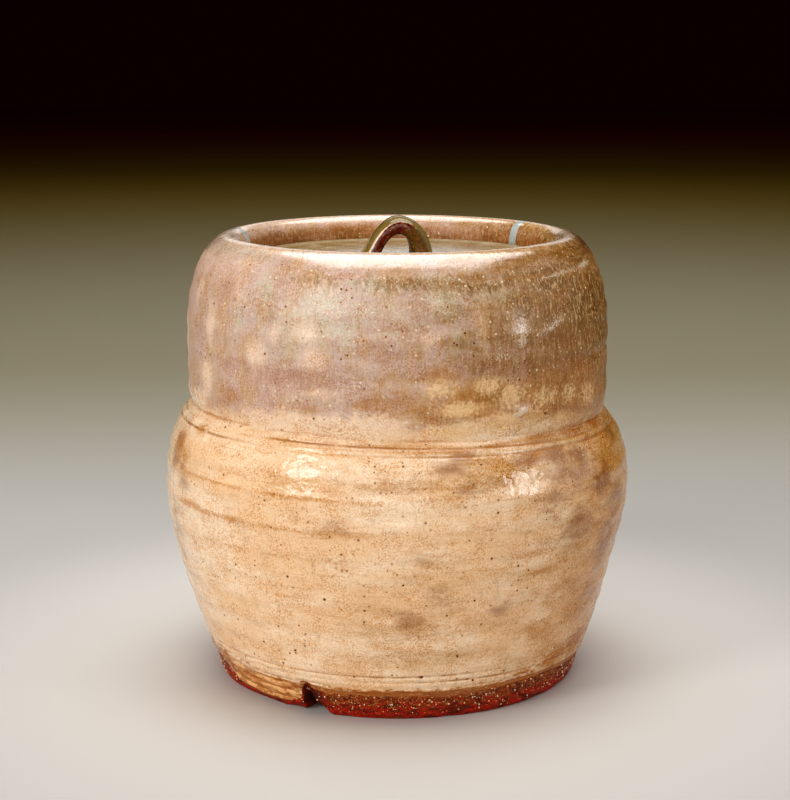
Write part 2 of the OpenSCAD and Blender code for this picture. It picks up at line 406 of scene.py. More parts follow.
class Field:
    """An output of a node. Reckoning with it lays more nodes in its tree."""

    def __init__(self, tree, socket):
        self.tree, self.socket = tree, socket

    def __add__(self, other):
        return maths("ADD", self, other)

    def __sub__(self, other):
        return maths("SUBTRACT", self, other)

    def __rsub__(self, other):
        return maths("SUBTRACT", other, self)

    def __mul__(self, other):
        return maths("MULTIPLY", self, other)

    def __truediv__(self, other):
        return maths("DIVIDE", self, other)

    def __rtruediv__(self, other):
        return maths("DIVIDE", other, self)

    def __or__(self, other):
        """The greater of the two."""
        return maths("MAXIMUM", self, other)

    def eased(self, low, high):
        """A soft step from low to high."""
        return made(self.tree, "ShaderNodeMapRange", {"Value": self, "From Min": low, "From Max": high},
                    "Result", interpolation_type="SMOOTHSTEP")

    def drawn(self, *stretch):
        """A place drawn out along the axes."""
        return made(self.tree, "ShaderNodeVectorMath", {0: self, 1: stretch}, operation="MULTIPLY")


def wire(tree, node, inputs):
    """Links a node's inputs to fields, or sets them to plain values."""
    for key, value in inputs.items():
        if isinstance(value, Field):
            tree.links.new(value.socket, node.inputs[key])
        else:
            node.inputs[key].default_value = value


def lay(tree, kind, inputs=None, **settings):
    """Adds a node, sets it and wires its inputs."""
    node = tree.nodes.new(kind)
    for key, value in settings.items():
        setattr(node, key, value)
    wire(tree, node, inputs or {})
    return node


def made(tree, kind, inputs=None, output=0, **settings):
    """Adds a node and returns one of its outputs."""
    return Field(tree, lay(tree, kind, inputs, **settings).outputs[output])


def maths(how, a, b=0.0, clamp=False):
    tree = a.tree if isinstance(a, Field) else b.tree
    return made(tree, "ShaderNodeMath", {0: a, 1: b}, operation=how, use_clamp=clamp)


def node_group(kind, name, inputs, output):
    """A new node group: its tree, its inputs and its output node. An input is told by the kind of its socket
    or by the number that it starts with."""
    tree = bpy.data.node_groups.new(name, kind)
    for key, value in inputs.items():
        socket_kind = value if isinstance(value, str) else type(value).__name__.capitalize()
        socket = tree.interface.new_socket(name=key, in_out="INPUT", socket_type="NodeSocket" + socket_kind)
        if value != socket_kind:
            socket.default_value = value
    tree.interface.new_socket(name="Result", in_out="OUTPUT", socket_type="NodeSocket" + output)
    given = {socket.name: Field(tree, socket) for socket in tree.nodes.new("NodeGroupInput").outputs}
    return tree, given, tree.nodes.new("NodeGroupOutput")


def effect(name, **inputs):
    """A new shader node group that makes one number of a place."""
    return node_group("ShaderNodeTree", name, {"Vector": "Vector", **inputs}, "Float")


def build_speckle():
    """Round specks in some of the cells of a 3-D pattern."""
    tree, given, out = effect("speckle", Size=0.002, Share=0.3, Reach=0.2)
    softness = 0.05
    scaled = made(tree, "ShaderNodeVectorMath", {0: given["Vector"], "Scale": 1.0 / given["Size"]},
                  operation="SCALE")
    cells = lay(tree, "ShaderNodeTexVoronoi", {"Vector": scaled, "Scale": 1.0})
    chance = made(tree, "ShaderNodeSeparateColor", {"Color": Field(tree, cells.outputs["Color"])}, "Red")
    reach = made(tree, "ShaderNodeMapRange", {
        "Value": chance, "From Min": 1.0 - given["Share"], "To Max": given["Reach"]}, "Result")
    inside = reach - Field(tree, cells.outputs["Distance"])
    wire(tree, out, {0: maths("DIVIDE", inside, softness, clamp=True)})


def build_mottle():
    """Soft cloudy patches."""
    tree, given, out = effect("mottle", Size=0.02, Detail=3.0, Low=0.4, High=0.6)
    cloud = made(tree, "ShaderNodeTexNoise", {
        "Vector": given["Vector"], "Scale": 1.0 / given["Size"], "Detail": given["Detail"],
        "Roughness": 0.6})
    wire(tree, out, {0: cloud.eased(given["Low"], given["High"])})


def build_ragged():
    """Breaks the soft edge of a mask up into a ragged one."""
    tree, given, out = effect("ragged edge", Mask=0.0, Size=0.003, Ragging=0.6, Softness=0.15)
    cloud = made(tree, "ShaderNodeTexNoise", {
        "Vector": given["Vector"], "Scale": 1.0 / given["Size"], "Detail": 5.0, "Roughness": 0.65})
    moved = given["Mask"] + (cloud - 0.5) * given["Ragging"]
    wire(tree, out, {0: moved.eased(0.5 - given["Softness"], given["Softness"] + 0.5)})


def build_skin():
    """The height of a fired glaze, slow waves and fine pitting, in millimetres."""
    tree, given, out = effect("glaze skin", Waves=0.06, Pitting=0.015)
    flattened = given["Vector"].drawn(1.0, 1.0, 1.7)
    waves = made(tree, "ShaderNodeTexNoise", {"Vector": flattened, "Scale": 150.0, "Detail": 2.0})
    pits = made(tree, "ShaderNodeTexNoise", {"Vector": given["Vector"], "Scale": 430.0, "Detail": 3.0})
    wire(tree, out, {0: waves * given["Waves"] + pits * given["Pitting"]})


class Surface:
    """A material in the making: its shader and the tools that paint it. Sizes are in millimetres."""

    def __init__(self, name):
        material = bpy.data.materials.new(name)
        material.use_nodes = True
        self.tree = material.node_tree
        self.tree.nodes.clear()
        self.shader = lay(self.tree, "ShaderNodeBsdfPrincipled")
        lay(self.tree, "ShaderNodeOutputMaterial", {"Surface": Field(self.tree, self.shader.outputs[0])})
        self.where = self.add("ShaderNodeTexCoord", output="Object")

    def add(self, kind, inputs=None, output=0, **settings):
        return made(self.tree, kind, inputs, output, **settings)

    def number(self, name):
        """One number painted on the piece."""
        return self.add("ShaderNodeAttribute", output="Fac", attribute_name=name)

    def painted(self, name):
        """The four masks of one painted layer."""
        kept = lay(self.tree, "ShaderNodeAttribute", attribute_name=name)
        parted = lay(self.tree, "ShaderNodeSeparateColor", {0: Field(self.tree, kept.outputs["Color"])})
        return [Field(self.tree, mask) for mask in (*parted.outputs, kept.outputs["Alpha"])]

    def effect(self, name, along=None, **inputs):
        """The result of a shared effect."""
        return self.add("ShaderNodeGroup", {"Vector": along or self.where, **inputs},
                        node_tree=bpy.data.node_groups[name])

    def mottle(self, size, low, high, along=None, detail=3.0):
        return self.effect("mottle", along, Size=size * MM, Detail=detail, Low=low, High=high)

    def ragged(self, mask, size, ragging, softness, along=None):
        return self.effect("ragged edge", along, Mask=mask, Size=size * MM, Ragging=ragging,
                           Softness=softness)

    def speckle(self, size, amount, reach):
        return self.effect("speckle", Size=size * MM, Share=amount, Reach=reach)

    def skin(self, waves, pitting):
        return self.effect("glaze skin", Waves=waves, Pitting=pitting)

    def bump(self, height):
        """A normal from a height in millimetres."""
        return self.add("ShaderNodeBump", {"Height": height, "Distance": MM, "Strength": 1.0})

    def coats(self, under, *coats):
        """Lays colours over one another. A coat is a colour or a grey, its amount and how it mixes."""
        def full(colour):
            if isinstance(colour, Field):
                return colour
            return (*(colour if hasattr(colour, "__len__") else [colour] * 3), 1.0)

        for colour, amount, *how in coats:
            under = self.add("ShaderNodeMix", {0: amount, 6: full(under), 7: full(colour)}, 2,
                             data_type="RGBA", blend_type=how[0] if how else "MIX", clamp_factor=True)
        return under

    def fire(self, colour, rough, **inputs):
        """Gives the shader its colour, its roughness and what else is set."""
        named = {key.replace("_", " "): value for key, value in inputs.items()}
        wire(self.tree, self.shader, {"Base Color": colour, "Roughness": rough, **named})


# The jar's shape

PARTS = ("under", "foot", "wall", "drum", "rim", "well", "inside")
# How far a curve's handles reach: for a quarter of a round, and for an even bend
QUARTER = 0.55
THIRD = 0.33
# Partial grooves on the drum: height, half width and depth in millimetres, first and last degree
DRUM_GROOVES = ((134.2, 1.7, 0.45, 26, 100), (166.2, 1.5, 0.4, 2, 95))
# How far the grooves drop in a degree, and over how many degrees they start and end
GROOVE_DROP, GROOVE_START, GROOVE_END = 0.02, 20, 15
# Lump of glaze under the drum: degrees from the front, height, half width, half height and the width of
# a degree there, in millimetres
LUMP_TURN, LUMP_HEIGHT, LUMP_HALF_W, LUMP_HALF_H, LUMP_DEGREE = 33, 118.4, 5, 2.2, 1.45
# Dent low on the right: the height of its middle, and how far it reaches above and below
DENT_HEIGHT, DENT_HALF = 50 * MM, 17 * MM
# Drips inside the rim: degrees from the front and half width in millimetres
RIM_DRIPS = ((128, 2.6), (-101, 2.4))
# Distance between rings of points at an incised line, on the turned band and on the rest of the wall
LINE_GAP, BAND_GAP, WALL_GAP = 0.36 * MM, 0.62 * MM, 1.02 * MM
# Seeds of the wanderings of the foot's tear and of the edges of the glazes
CHIP_SEED, LAYER_SEED, CRUMB_SEED = 61, 71, 72
DRUM_SEED, BARE_SEED, RIM_SEED, IRON_SEED = 91, 92, 93, 94


def incised_lines(wall, foot, marks):
    """Heights and weights of the lines under the crease and over the turned band."""
    return ([(wall.waist_height - marks.line_pitch * (k + 1), 0.9) for k in range(marks.waist_lines)]
            + [(foot.band + marks.line_pitch * (k + 1), 0.7) for k in range(marks.foot_lines)])


def jar_stretches(wall, foot, lid_top, marks):
    """The turned outline as (part, points) from the middle of the underside to the middle of the floor."""
    ring_in = wall.foot_radius - foot.ring_width
    e = foot.edge
    bottom = wall.foot_radius - foot.step
    seat, well = wall.seat_height, wall.well_radius
    ledge = well - wall.ledge_width
    lip = 1.0 * MM
    under_z = seat - wall.ledge_thickness
    belly, waist = (wall.belly_radius, wall.belly_height), (wall.waist_radius, wall.waist_height)
    to_belly = curve((wall.foot_radius, 0), (between(wall.foot_radius, belly[0], 0.36), belly[1] * THIRD),
                     (belly[0], belly[1] * 2 * THIRD), belly, 300)
    rise = waist[1] - belly[1]
    to_waist = curve(belly, (belly[0], belly[1] + rise * 0.45),
                     (between(belly[0], waist[0], 0.29), belly[1] + rise * 0.75), waist, 200)
    rise = (wall.drum_height - waist[1]) / 0.45
    to_drum = curve(waist, (between(waist[0], wall.drum_radius, 0.66), waist[1] + rise * 0.08),
                    (wall.drum_radius, waist[1] + rise * 0.16), (wall.drum_radius, wall.drum_height))
    crest = (wall.crest_radius, wall.crest_height)
    rise = crest[1] - wall.shoulder_height
    to_crest = curve((wall.drum_radius, wall.shoulder_height),
                     (wall.drum_radius, wall.shoulder_height + rise * QUARTER),
                     (between(crest[0], wall.drum_radius, QUARTER), crest[1]), crest)
    to_well = curve(crest, (between(crest[0], well, QUARTER), crest[1]),
                    (well, between(crest[1], lid_top, THIRD)), (well, lid_top))
    inner = np.concatenate([to_belly, to_waist, to_drum])
    inner = inner[inner[:, 1] > wall.floor_height + 10 * MM] - [wall.wall, 0]
    inner_top = (wall.drum_radius - wall.wall, wall.drum_height)
    under_ledge = curve((ledge + lip, under_z), (between(ledge, inner_top[0], 2 * THIRD), under_z),
                        (inner_top[0], between(under_z, inner_top[1], THIRD)), inner_top)
    low = inner[0]
    sweep = curve(low, (low[0] - 1.5 * MM, low[1] - 5 * MM), (low[0] - 16 * MM, wall.floor_height),
                  (low[0] - 30 * MM, wall.floor_height))
    lines = [height for height, _ in incised_lines(wall, foot, marks)]

    def wall_gap(z):
        near = min(abs(z - line) for line in lines) if lines else 1.0
        if near < marks.line_width * 0.7:
            return LINE_GAP
        return BAND_GAP if z < foot.band + 3 * MM else WALL_GAP

    return [
        ("under", straight((0, foot.recess), (ring_in - e, foot.recess), 6 * MM)),
        ("foot", np.concatenate([
            arc((ring_in - e, foot.recess - e), e, 90, 0, 0.7 * MM),
            arc((ring_in + e, e), e, 180, 270, 0.7 * MM),
            straight((ring_in + e, 0), (bottom - e, 0), 1.3 * MM)[1:],
            arc((bottom - e, e), e, -90, 0, 0.5 * MM)[1:]])),
        ("wall", spaced(np.concatenate([to_belly[to_belly[:, 1] > e + 0.3 * MM], to_waist[1:]]), wall_gap)),
        ("drum", spaced(np.concatenate([to_drum, to_crest]), WALL_GAP)[1:]),
        ("rim", spaced(to_well, 0.8 * MM)[1:]),
        ("well", np.concatenate([
            straight((well, lid_top), (well, seat), 2 * MM)[1:],
            straight((well, seat), (ledge + lip, seat), 2.4 * MM)[1:],
            arc((ledge + lip, seat - lip), lip, 90, 180, 0.6 * MM)[1:],
            arc((ledge + lip, under_z + lip), lip, 180, 270, 0.6 * MM)])),
        ("inside", np.concatenate([
            spaced(under_ledge, 4 * MM)[1:], spaced(inner[::-1], 6 * MM)[1:], spaced(sweep, 5 * MM)[1:],
            straight(sweep[-1], (0, wall.floor_height), 9 * MM)[1:]])),
    ]


def turned_columns(count, dense_at, dense_width):
    """Angles once round from the back, closer together over the notch."""
    fine = np.linspace(-math.pi, math.pi, 7201)
    weight = 1 + 2.6 * bell((fine - dense_at) / dense_width)
    way = np.concatenate([[0], np.cumsum((weight[1:] + weight[:-1]) / 2)])
    return np.interp(np.arange(count) / count * way[-1], way, fine)


def notch_roof(along, foot):
    """Height of the notch by the distance along the foot, steep on the left and drawn out to the right."""
    w = foot.notch_width
    peak, fall = -0.27 * w, 0.05 * w
    up = smooth((along + w / 2) / (peak + w / 2)) * foot.notch_height
    down = between(foot.notch_height, foot.notch_low, smooth((along - peak) / (fall - peak)))
    out = foot.notch_low * (1 - smooth((along - fall) / (w / 2 - fall)))
    roof = np.where(along < peak, up, np.where(along < fall, down, out))
    return np.where(np.abs(along) < w / 2, roof, 0.0)


def crease_offset(angle, wall):
    """How far the crease and its lines lie above their level, by the angle from the front."""
    return wall.crease_tilt * (-np.sin(angle) - 0.23 * np.sin(2 * angle) + 0.53 * (np.cos(angle) - 1))


class JarGrid:
    """The jar's points before the last waves, with the angle, the height and the part of each."""

    def __init__(self, wall, foot, marks, lid_top):
        stretches = jar_stretches(wall, foot, lid_top, marks)
        outline = np.concatenate([points for _, points in stretches])
        part = np.concatenate([[PARTS.index(name)] * len(points) for name, points in stretches])
        a, r, z = turned_grid(outline, turned_columns(wall.columns, foot.notch_turn, 9 * DEGREE))
        self.part = np.broadcast_to(part[:, None], a.shape)
        self.angle, self.degrees, self.lie = a, np.degrees(a), z.copy()
        self.groove = np.zeros(a.shape)
        self.turn_foot(r, z, foot, marks)
        self.cut_lines(r, wall, foot, marks)
        self.tear_notch(r, z, foot, wall)
        self.lean(r, z, wall, marks)
        self.run_drips(r, wall, lid_top)
        self.points = standing(a, r, z)

    def at(self, *names):
        return np.isin(self.part, [PARTS.index(n) for n in names])

    def turn_foot(self, r, z, foot, marks):
        """Turns the bare band in under a step that wanders, and roughens its clay."""
        on = self.at("wall")
        edge = foot.band + 0.7 * MM * wander(self.angle, marks.seed, (2, 3, 5, 9, 14))
        r -= on * (foot.step * (1 - smooth((z - edge) / (2 * foot.step))))
        rough = wander(self.angle, marks.seed + 1, (17, 26, 41)) * np.cos(z / (1.7 * MM) + 3 * self.angle)
        r += on * (0.16 * MM * rough * (1 - smooth((z - foot.band) / (2 * MM))))

    def cut_lines(self, r, wall, foot, marks):
        """Cuts the incised lines, which sway and fade, and the drum's partial grooves."""
        for k, (height, depth) in enumerate(incised_lines(wall, foot, marks)):
            sway = 0.25 * MM * wander(self.angle, marks.seed + 20 + k, (1, 2, 4))
            fade = np.clip(0.75 + 0.4 * wander(self.angle, marks.seed + 30 + k, (2, 3, 6)), 0.15, 1.2)
            x = (self.lie - height - sway) / (marks.line_width / 2)
            cut = np.where(self.at("wall") & (np.abs(x) < 1), depth * fade * (1 - x * x), 0)
            r -= marks.line_depth * cut
            self.groove = np.maximum(self.groove, cut)
        for height, half, deep, start, stop in DRUM_GROOVES:
            x = (self.lie / MM - height + GROOVE_DROP * (self.degrees - start)) / half
            reach = smooth((self.degrees - start) / GROOVE_START)
            reach *= 1 - smooth((self.degrees - stop) / GROOVE_END)
            cut = np.where(self.at("drum") & (np.abs(x) < 1), reach * (1 - x * x) ** 2, 0)
            r -= deep * MM * cut
            self.groove = np.maximum(self.groove, 0.6 * cut)

    def tear_notch(self, r, z, foot, wall):
        """Lifts the foot over the notch, chips its edge and tears its clay in layers left of the notch."""
        on = self.at("wall")
        along = (self.angle - foot.notch_turn) * wall.foot_radius
        roof = notch_roof(along, foot)
        self.torn = roof / foot.notch_height
        reach = foot.band + 4 * MM
        ring_in = wall.foot_radius - foot.ring_width
        low_wall = self.at("wall", "foot") & (r > ring_in + foot.edge)
        z[...] = np.where(low_wall & (z < reach), roof + z * (1 - roof / reach), z)
        back = self.at("foot") & ~low_wall & (r > ring_in - 0.1 * MM)
        z[...] = np.where(back, np.maximum(z, roof), z)
        chip = np.clip(wander(self.angle, CHIP_SEED, (5, 9, 15, 22)) - 0.5, 0, 1.5) * foot.chips
        low = 1 - smooth(self.lie / (4 * MM))
        outer = self.at("wall", "foot") & (r > wall.foot_radius - 6 * MM)
        z += (outer & (self.lie < 4 * MM)) * (low * chip * 0.7)
        r -= outer * (low * (chip + 1.6 * MM * bell((self.degrees + 46) / 13)))
        r += on * (0.6 * MM * (bell((along - 1.5 * MM) / (6 * MM)) * bell((z - 9 * MM) / (4 * MM))))
        layers = self.lie + 0.9 * MM * wander(self.angle, LAYER_SEED, (4, 7, 11))
        layers = np.sin(FULL_TURN * layers / (3.3 * MM))
        crumbs = wander(self.angle, CRUMB_SEED, (31, 47, 60))
        crumbs *= np.cos(self.lie / (1.1 * MM) + 4 * self.angle)
        ragged = bell((self.degrees + 44) / 16, 4) * (1 - smooth((self.lie - 12 * MM) / (4 * MM)))
        ragged *= on * smooth(self.lie / (2 * MM))
        r += ragged * (0.42 * MM * layers + 0.2 * MM * crumbs - 0.2 * MM)
        self.groove = np.maximum(self.groove, ragged * smooth(-layers - 0.45) * 1.4)

    def lean(self, r, z, wall, marks):
        """Tilts the crease, dents the lower right, waves the wall and leaves a lump under the drum."""
        on = self.at("wall", "drum")
        z += on * (bell((self.lie - wall.waist_height) / (20 * MM)) * crease_offset(self.angle, wall))
        right = np.clip(np.cos(self.angle - math.pi / 2), 0, 1) ** 1.5
        r -= on * (wall.right_dent * right * bell((self.lie - DENT_HEIGHT) / DENT_HALF))
        self.free = self.at("wall") * smooth((self.lie - 12 * MM) / (20 * MM))
        self.free += self.at("drum") * (1 - smooth((self.lie - 150 * MM) / (20 * MM)))
        r += self.free * 0.22 * MM * wander(self.angle, marks.seed + 3, (2, 3))
        lump = bell((self.degrees - LUMP_TURN) * LUMP_DEGREE / LUMP_HALF_W)
        r += on * (0.5 * MM * lump * bell((self.lie / MM - LUMP_HEIGHT) / LUMP_HALF_H))

    def run_drips(self, r, wall, lid_top):
        """Runs drips of pale glaze over the crest and down into the well."""
        self.drip = np.zeros_like(r)
        top = self.at("rim", "drum") & (r < wall.crest_radius + 3 * MM) & (self.lie > lid_top)
        down = (wall.crest_height - self.lie) / (wall.crest_height - lid_top)
        for degrees, half in RIM_DRIPS:
            across = (self.degrees - degrees) * DEGREE * wall.well_radius / MM
            bead = np.clip(1 - (across / (half * (1 - 0.25 * down))) ** 2, 0, 1) * top
            bead *= 1 - smooth((r - wall.crest_radius) / (3 * MM))
            self.drip = np.maximum(self.drip, bead)
        r -= 0.5 * MM * np.sqrt(self.drip) * (r < wall.crest_radius)


# Where the glazes lie: degrees right of the front, height, half width, half height (mm), strength, slope.
# A slope that is left out is 0.

IRON_PATCHES = (
    # under the drum
    (-48, 120, 8, 3.5, 0.65), (-6, 122.6, 14, 4.2, 0.55), (2, 124.5, 8, 4, 0.5), (-27, 119, 15, 2, 0.5),
    (5, 120, 9, 3, 0.5), (33.5, 124, 3.2, 4, 0.6), (51, 133.5, 9, 1.3, 0.75), (68, 133.3, 7, 1.4, 0.95),
    (40, 134.3, 8, 0.9, 0.5, -0.05), (-15, 167, 20, 0.9, 0.5), (4, 166.2, 14, 0.9, 0.4),
    (43, 150.3, 3.4, 4, 0.6), (48.5, 156.7, 3.4, 5, 0.55), (-53, 160.5, 5, 6, 0.35), (8, 119, 16, 6, 0.5),
    (10, 132.5, 9, 4, 0.85), (22, 124, 18, 8, 0.8), (40, 124, 14, 11, 1), (56, 123, 16, 12, 1),
    (72, 121, 12, 12, 1),
    # crease and incised lines
    (-56, 109, 24, 0.7, 0.8), (-22, 109.1, 24, 0.6, 0.5), (6, 109, 16, 0.5, 0.55),
    (-30, 106.4, 9, 0.7, 0.85), (-19, 106.3, 12, 0.6, 0.6), (-4, 106.6, 12, 0.7, 0.8),
    (-13, 103.6, 14, 0.6, 0.5), (19, 103, 8, 0.7, 0.6, 0.03), (14, 105.9, 10, 0.9, 0.95, 0.03),
    (25, 106.7, 10, 1, 0.95, 0.05), (38, 107.7, 10, 1.5, 0.95, 0.05), (52, 108.5, 10, 2.2, 1, 0.02),
    (66, 108.9, 8, 3, 1), (36, 102.8, 7, 1.8, 0.6, 0.02), (57, 102.6, 5, 2.2, 0.9), (69, 98.5, 3, 4, 0.6),
    # throwing lines on the belly
    (-38, 88.3, 58, 0.9, 0.8), (-4, 88, 24, 0.8, 0.65), (-44, 76.7, 44, 1.2, 0.85),
    (-14, 76.4, 16, 1.8, 0.6), (-58, 77.4, 10, 1.2, 0.9), (-38, 65.9, 30, 1, 0.6),
    (9.5, 93.2, 27, 0.7, 0.85), (10, 89.4, 20, 1.5, 0.5), (-60, 104, 4, 2.4, 0.8),
    (-64, 93.5, 5, 2.4, 0.75), (-69, 95, 5, 6, 0.8), (-34, 92, 24, 0.7, 0.35), (-28, 53.9, 18, 0.6, 0.55),
    (-30, 50.2, 14, 0.9, 0.45), (-53, 49, 6, 5, 0.4), (-58, 62, 6, 4, 0.45, 0.2),
    (33, 66, 12, 1.6, 0.65, 0.06), (36, 58, 10, 2, 0.6, 0.05), (0, 26.6, 8, 3, 0.5), (4, 36, 10, 5, 0.35),
    (14, 60, 15, 1.6, 0.4), (16, 87, 14, 0.8, 0.55), (24, 75, 20, 5, 0.32), (48, 50, 20, 16, 0.36),
    (40, 34, 16, 8, 0.34), (8, 73, 16, 1.2, 0.4), (18, 50, 18, 1, 0.4),
    # a faint ring
    (-12.6, 63.4, 1.2, 3, 0.55), (-19.6, 63.4, 1.2, 3, 0.55), (-16, 66.8, 3.2, 1, 0.55),
    (-16, 60, 3.2, 1, 0.5),
)
MAUVE_PATCHES = (
    (-29, 130, 26, 6.5, 0.85), (-18, 134, 20, 5, 0.5), (-46, 131, 12, 5, 0.5), (20, 134.5, 14, 5, 0.7),
    (41, 129.5, 10, 4, 0.75), (51, 139.4, 13, 5, 0.55), (-55, 114.5, 11, 4.5, 0.8), (3, 167, 9, 4, 0.5),
    (-53, 160, 6, 6, 0.7), (-33, 163, 4.4, 5, 0.6), (-66, 150, 4, 14, 0.4), (-3, 146, 14, 12, 0.5),
    (33, 138, 12, 6, 0.5), (12.5, 100.3, 8, 3.4, 0.75), (46, 94.5, 12, 6, 0.95), (57, 88, 10, 8, 0.75),
    (41.5, 101.5, 7, 3.4, 1, 0.03), (49, 99.5, 6, 4, 1), (15, 104, 7, 2.2, 0.8, 0.03),
    (16, 92.5, 5, 3, 0.6), (47, 72, 9, 8, 0.8, 0.2), (-63, 86, 7, 7, 0.6), (-70, 95, 6, 9, 0.9),
    (3, 43, 7, 6, 0.5), (25.5, 45, 6, 3.4, 0.8, 0.2), (38, 85, 8, 6, 0.65), (62, 60, 10, 16, 0.7),
    (-41, 75, 8, 4, 0.4), (-14, 78, 8, 4, 0.5), (-70, 62, 8, 18, 0.5), (34, 101, 12, 3.6, 0.75),
    (12, 52, 14, 10, 0.34), (66, 78, 9, 11, 0.65), (24, 96, 7, 2.5, 0.4), (60, 40, 12, 12, 0.5),
    (6, 68, 7, 3, 0.4),
)
ASH_PATCHES = (
    (-22, 151, 26, 12, 0.6), (-4, 153, 18, 10, 0.5), (-30, 138, 20, 7, 0.4), (-37, 161.5, 7, 6, 0.8),
    (-20, 159, 14, 5, 0.65), (-18, 158, 8, 5, 0.8), (-45, 150, 4.5, 9, 0.55), (-28, 142.5, 4, 3.6, 0.65),
    (-8, 163.5, 12, 5, 0.6), (12, 159, 10, 6, 0.75), (10, 166, 12, 4, 0.6), (27, 161, 14, 5, 0.6),
    (15, 146, 6, 8, 0.5), (-12, 147, 7, 8, 0.55), (-54, 113.5, 9, 3, 0.5),
)
BLOB_PATCHES = (
    (-68.5, 157, 4, 9, 0.6), (-58, 145, 4, 9, 0.9), (-60.5, 124.5, 5, 8, 0.95), (-46, 159, 4, 5, 0.5),
    (-61, 169, 10, 3.4, 0.5), (-76, 171, 14, 5, 0.8), (-49, 169, 8, 2.6, 0.4), (-32.5, 146, 5, 5, 0.65),
    (-24, 147.2, 7, 5, 0.8), (-26, 150, 10, 5, 0.45), (-39, 137.4, 5.4, 5.4, 0.95),
    (-21.5, 138.7, 6, 5, 0.9), (-20, 124.8, 10, 2.6, 0.5), (-28, 123, 8, 2.2, 0.4), (8, 146, 4, 3.4, 0.65),
    (21.5, 151, 3.4, 8, 0.55), (10.5, 128, 7, 4.4, 0.7), (23, 128.5, 6, 4, 1), (29.5, 124.5, 6, 4.5, 1),
    (40.5, 123, 7, 4, 0.95), (60, 119.6, 8, 5, 0.8), (37, 117, 6, 3.6, 0.95), (50, 122, 6, 4, 0.7),
    (16, 120.5, 10, 3.4, 0.95), (48, 114, 9, 2.4, 0.9), (28, 115, 10, 4, 1), (-20, 114, 16, 3, 0.9),
    (-36, 113, 12, 3, 0.8), (-4, 115, 10, 3, 0.85), (14, 112, 12, 3, 0.95), (-80, 135, 5, 12, 0.7),
    (-20, 164, 8, 1.6, 0.3), (46.5, 97, 5, 3, 0.8), (56.5, 92, 4, 3, 0.75), (63, 101, 4, 3, 0.9),
    (36, 97, 6, 2.4, 0.5), (70, 88, 4, 9, 0.6),
)
OLIVE_PATCHES = (
    (57, 155, 11, 13, 0.8), (68, 150, 9, 20, 1), (80, 148, 14, 24, 1), (46, 163, 15, 5, 0.75),
    (31, 164.5, 13, 3, 0.55), (62, 138, 9, 8, 0.6), (44, 152, 7, 8, 0.45), (76, 124, 10, 9, 0.75),
    (66, 168, 18, 3, 0.75), (72, 103, 8, 4, 0.6), (48, 167.3, 20, 0.8, 0.9, 0.05), (34, 156, 8, 6, 0.45),
    (0, 164.8, 26, 3.4, 0.6), (20, 164, 16, 3.2, 0.66), (-22, 165.4, 18, 2.8, 0.5),
)
# White chalk in the glaze, and painted glints and highlights where the glaze catches the lights
CHALK_AND_GLINT_PATCHES = (
    (33, 147, 3, 7, 0.6), (33, 144, 2.6, 3.4, 0.85), (43, 147, 7, 1.6, 0.65, 0.35), (27, 138.7, 5, 2, 0.6),
    (52, 165.2, 16, 0.8, 0.75, 0.06), (66, 166, 9, 1.2, 0.9, 0.08), (35, 79.5, 9, 4, 0.4),
    (56, 24, 10, 8, 0.42), (-18, 156, 9, 5, 0.4), (33, 118.4, 4.2, 0.9, 1.3, 0.38),
)
UMBER_PATCHES = (
    (50, 17, 12, 4, 0.8, 0.1), (62, 20, 12, 6, 0.9, 0.05), (77, 23, 14, 9, 1), (38, 14, 12, 3, 0.7, 0.05),
    (-62, 12, 8, 6, 0.9), (-72, 12, 10, 7, 0.9), (-36, 12, 6, 1.4, 0.7), (-50, 15, 12, 1.2, 0.6),
    (-45, 1.6, 14, 2.2, 0.8),
)
# A brown stain in the glaze below the waist and over the foot, partly painted shade
STAIN_AND_SHADE_PATCHES = (
    (0, 94, 30, 6, 0.6), (27, 97, 24, 7, 0.85), (-4, 107, 44, 3, 0.55), (6, 26, 26, 7, 0.5),
    (12, 50, 16, 18, 0.3), (50, 100, 16, 9, 0.9), (-30, 107, 20, 3, 0.4), (60, 24, 22, 12, 0.8),
    (64, 110, 18, 8, 1), (0, 40, 30, 14, 0.4),
)
SHINE_PATCHES = ((33, 118.4, 5, 1.3, 1, 0.35), (33, 144, 4, 7, 0.6), (43, 147, 7, 3, 0.6, 0.35))
# Grit that shows through the glaze over the foot, on the right
BELLY_GRIT = (62, 26, 20, 12, 1)
# Larger iron spots: degrees right of the front, height and radius in millimetres
IRON_SPOTS = (
    (-43.5, 154, 0.5), (-35, 155.5, 0.4), (12.7, 157, 0.5), (14.7, 143.7, 0.55), (-17.5, 50.8, 0.7),
    (6.5, 18.8, 0.8), (-1.5, 20, 0.5), (-33, 20.5, 0.6), (-12, 18.5, 0.5), (-56, 55, 0.5), (21, 40, 0.5),
    (29, 62, 0.6), (-24, 35, 0.5),
)
# Radius at which degrees are turned into millimetres for every patch and spot
SKIN_RADIUS = 85.0
# Heights in millimetres: top of the bare clay, top of the belly's bands, start of the drum's glaze,
# lower part of the rim's inside, and crest
BARE_TOP, BANDS_TOP, DRUM_EDGE, LOW_RIM, CREST_LINE = 10.0, 104, 109.5, 168, 174.6


def spot(degrees, height, middle, up, half_w, half_h, strength, slope=0.0):
    """The strength of one soft patch at each point."""
    across = (np.mod(degrees - middle + 180, 360) - 180) * DEGREE * SKIN_RADIUS
    rise = height - up - slope * across
    return strength * np.exp(-(across / half_w) ** 2 - (rise / half_h) ** 2)


def round_the_back(count, seed, heights, half_w, half_h, strengths):
    """More patches of the same kind for the sides and the back, which are not seen from the front."""
    rng = np.random.default_rng(seed)
    ranges = ((86, 274), heights, half_w, half_h, strengths, (-0.05, 0.05))
    return tuple(tuple(rng.uniform(*limits) for limits in ranges) for _ in range(count))


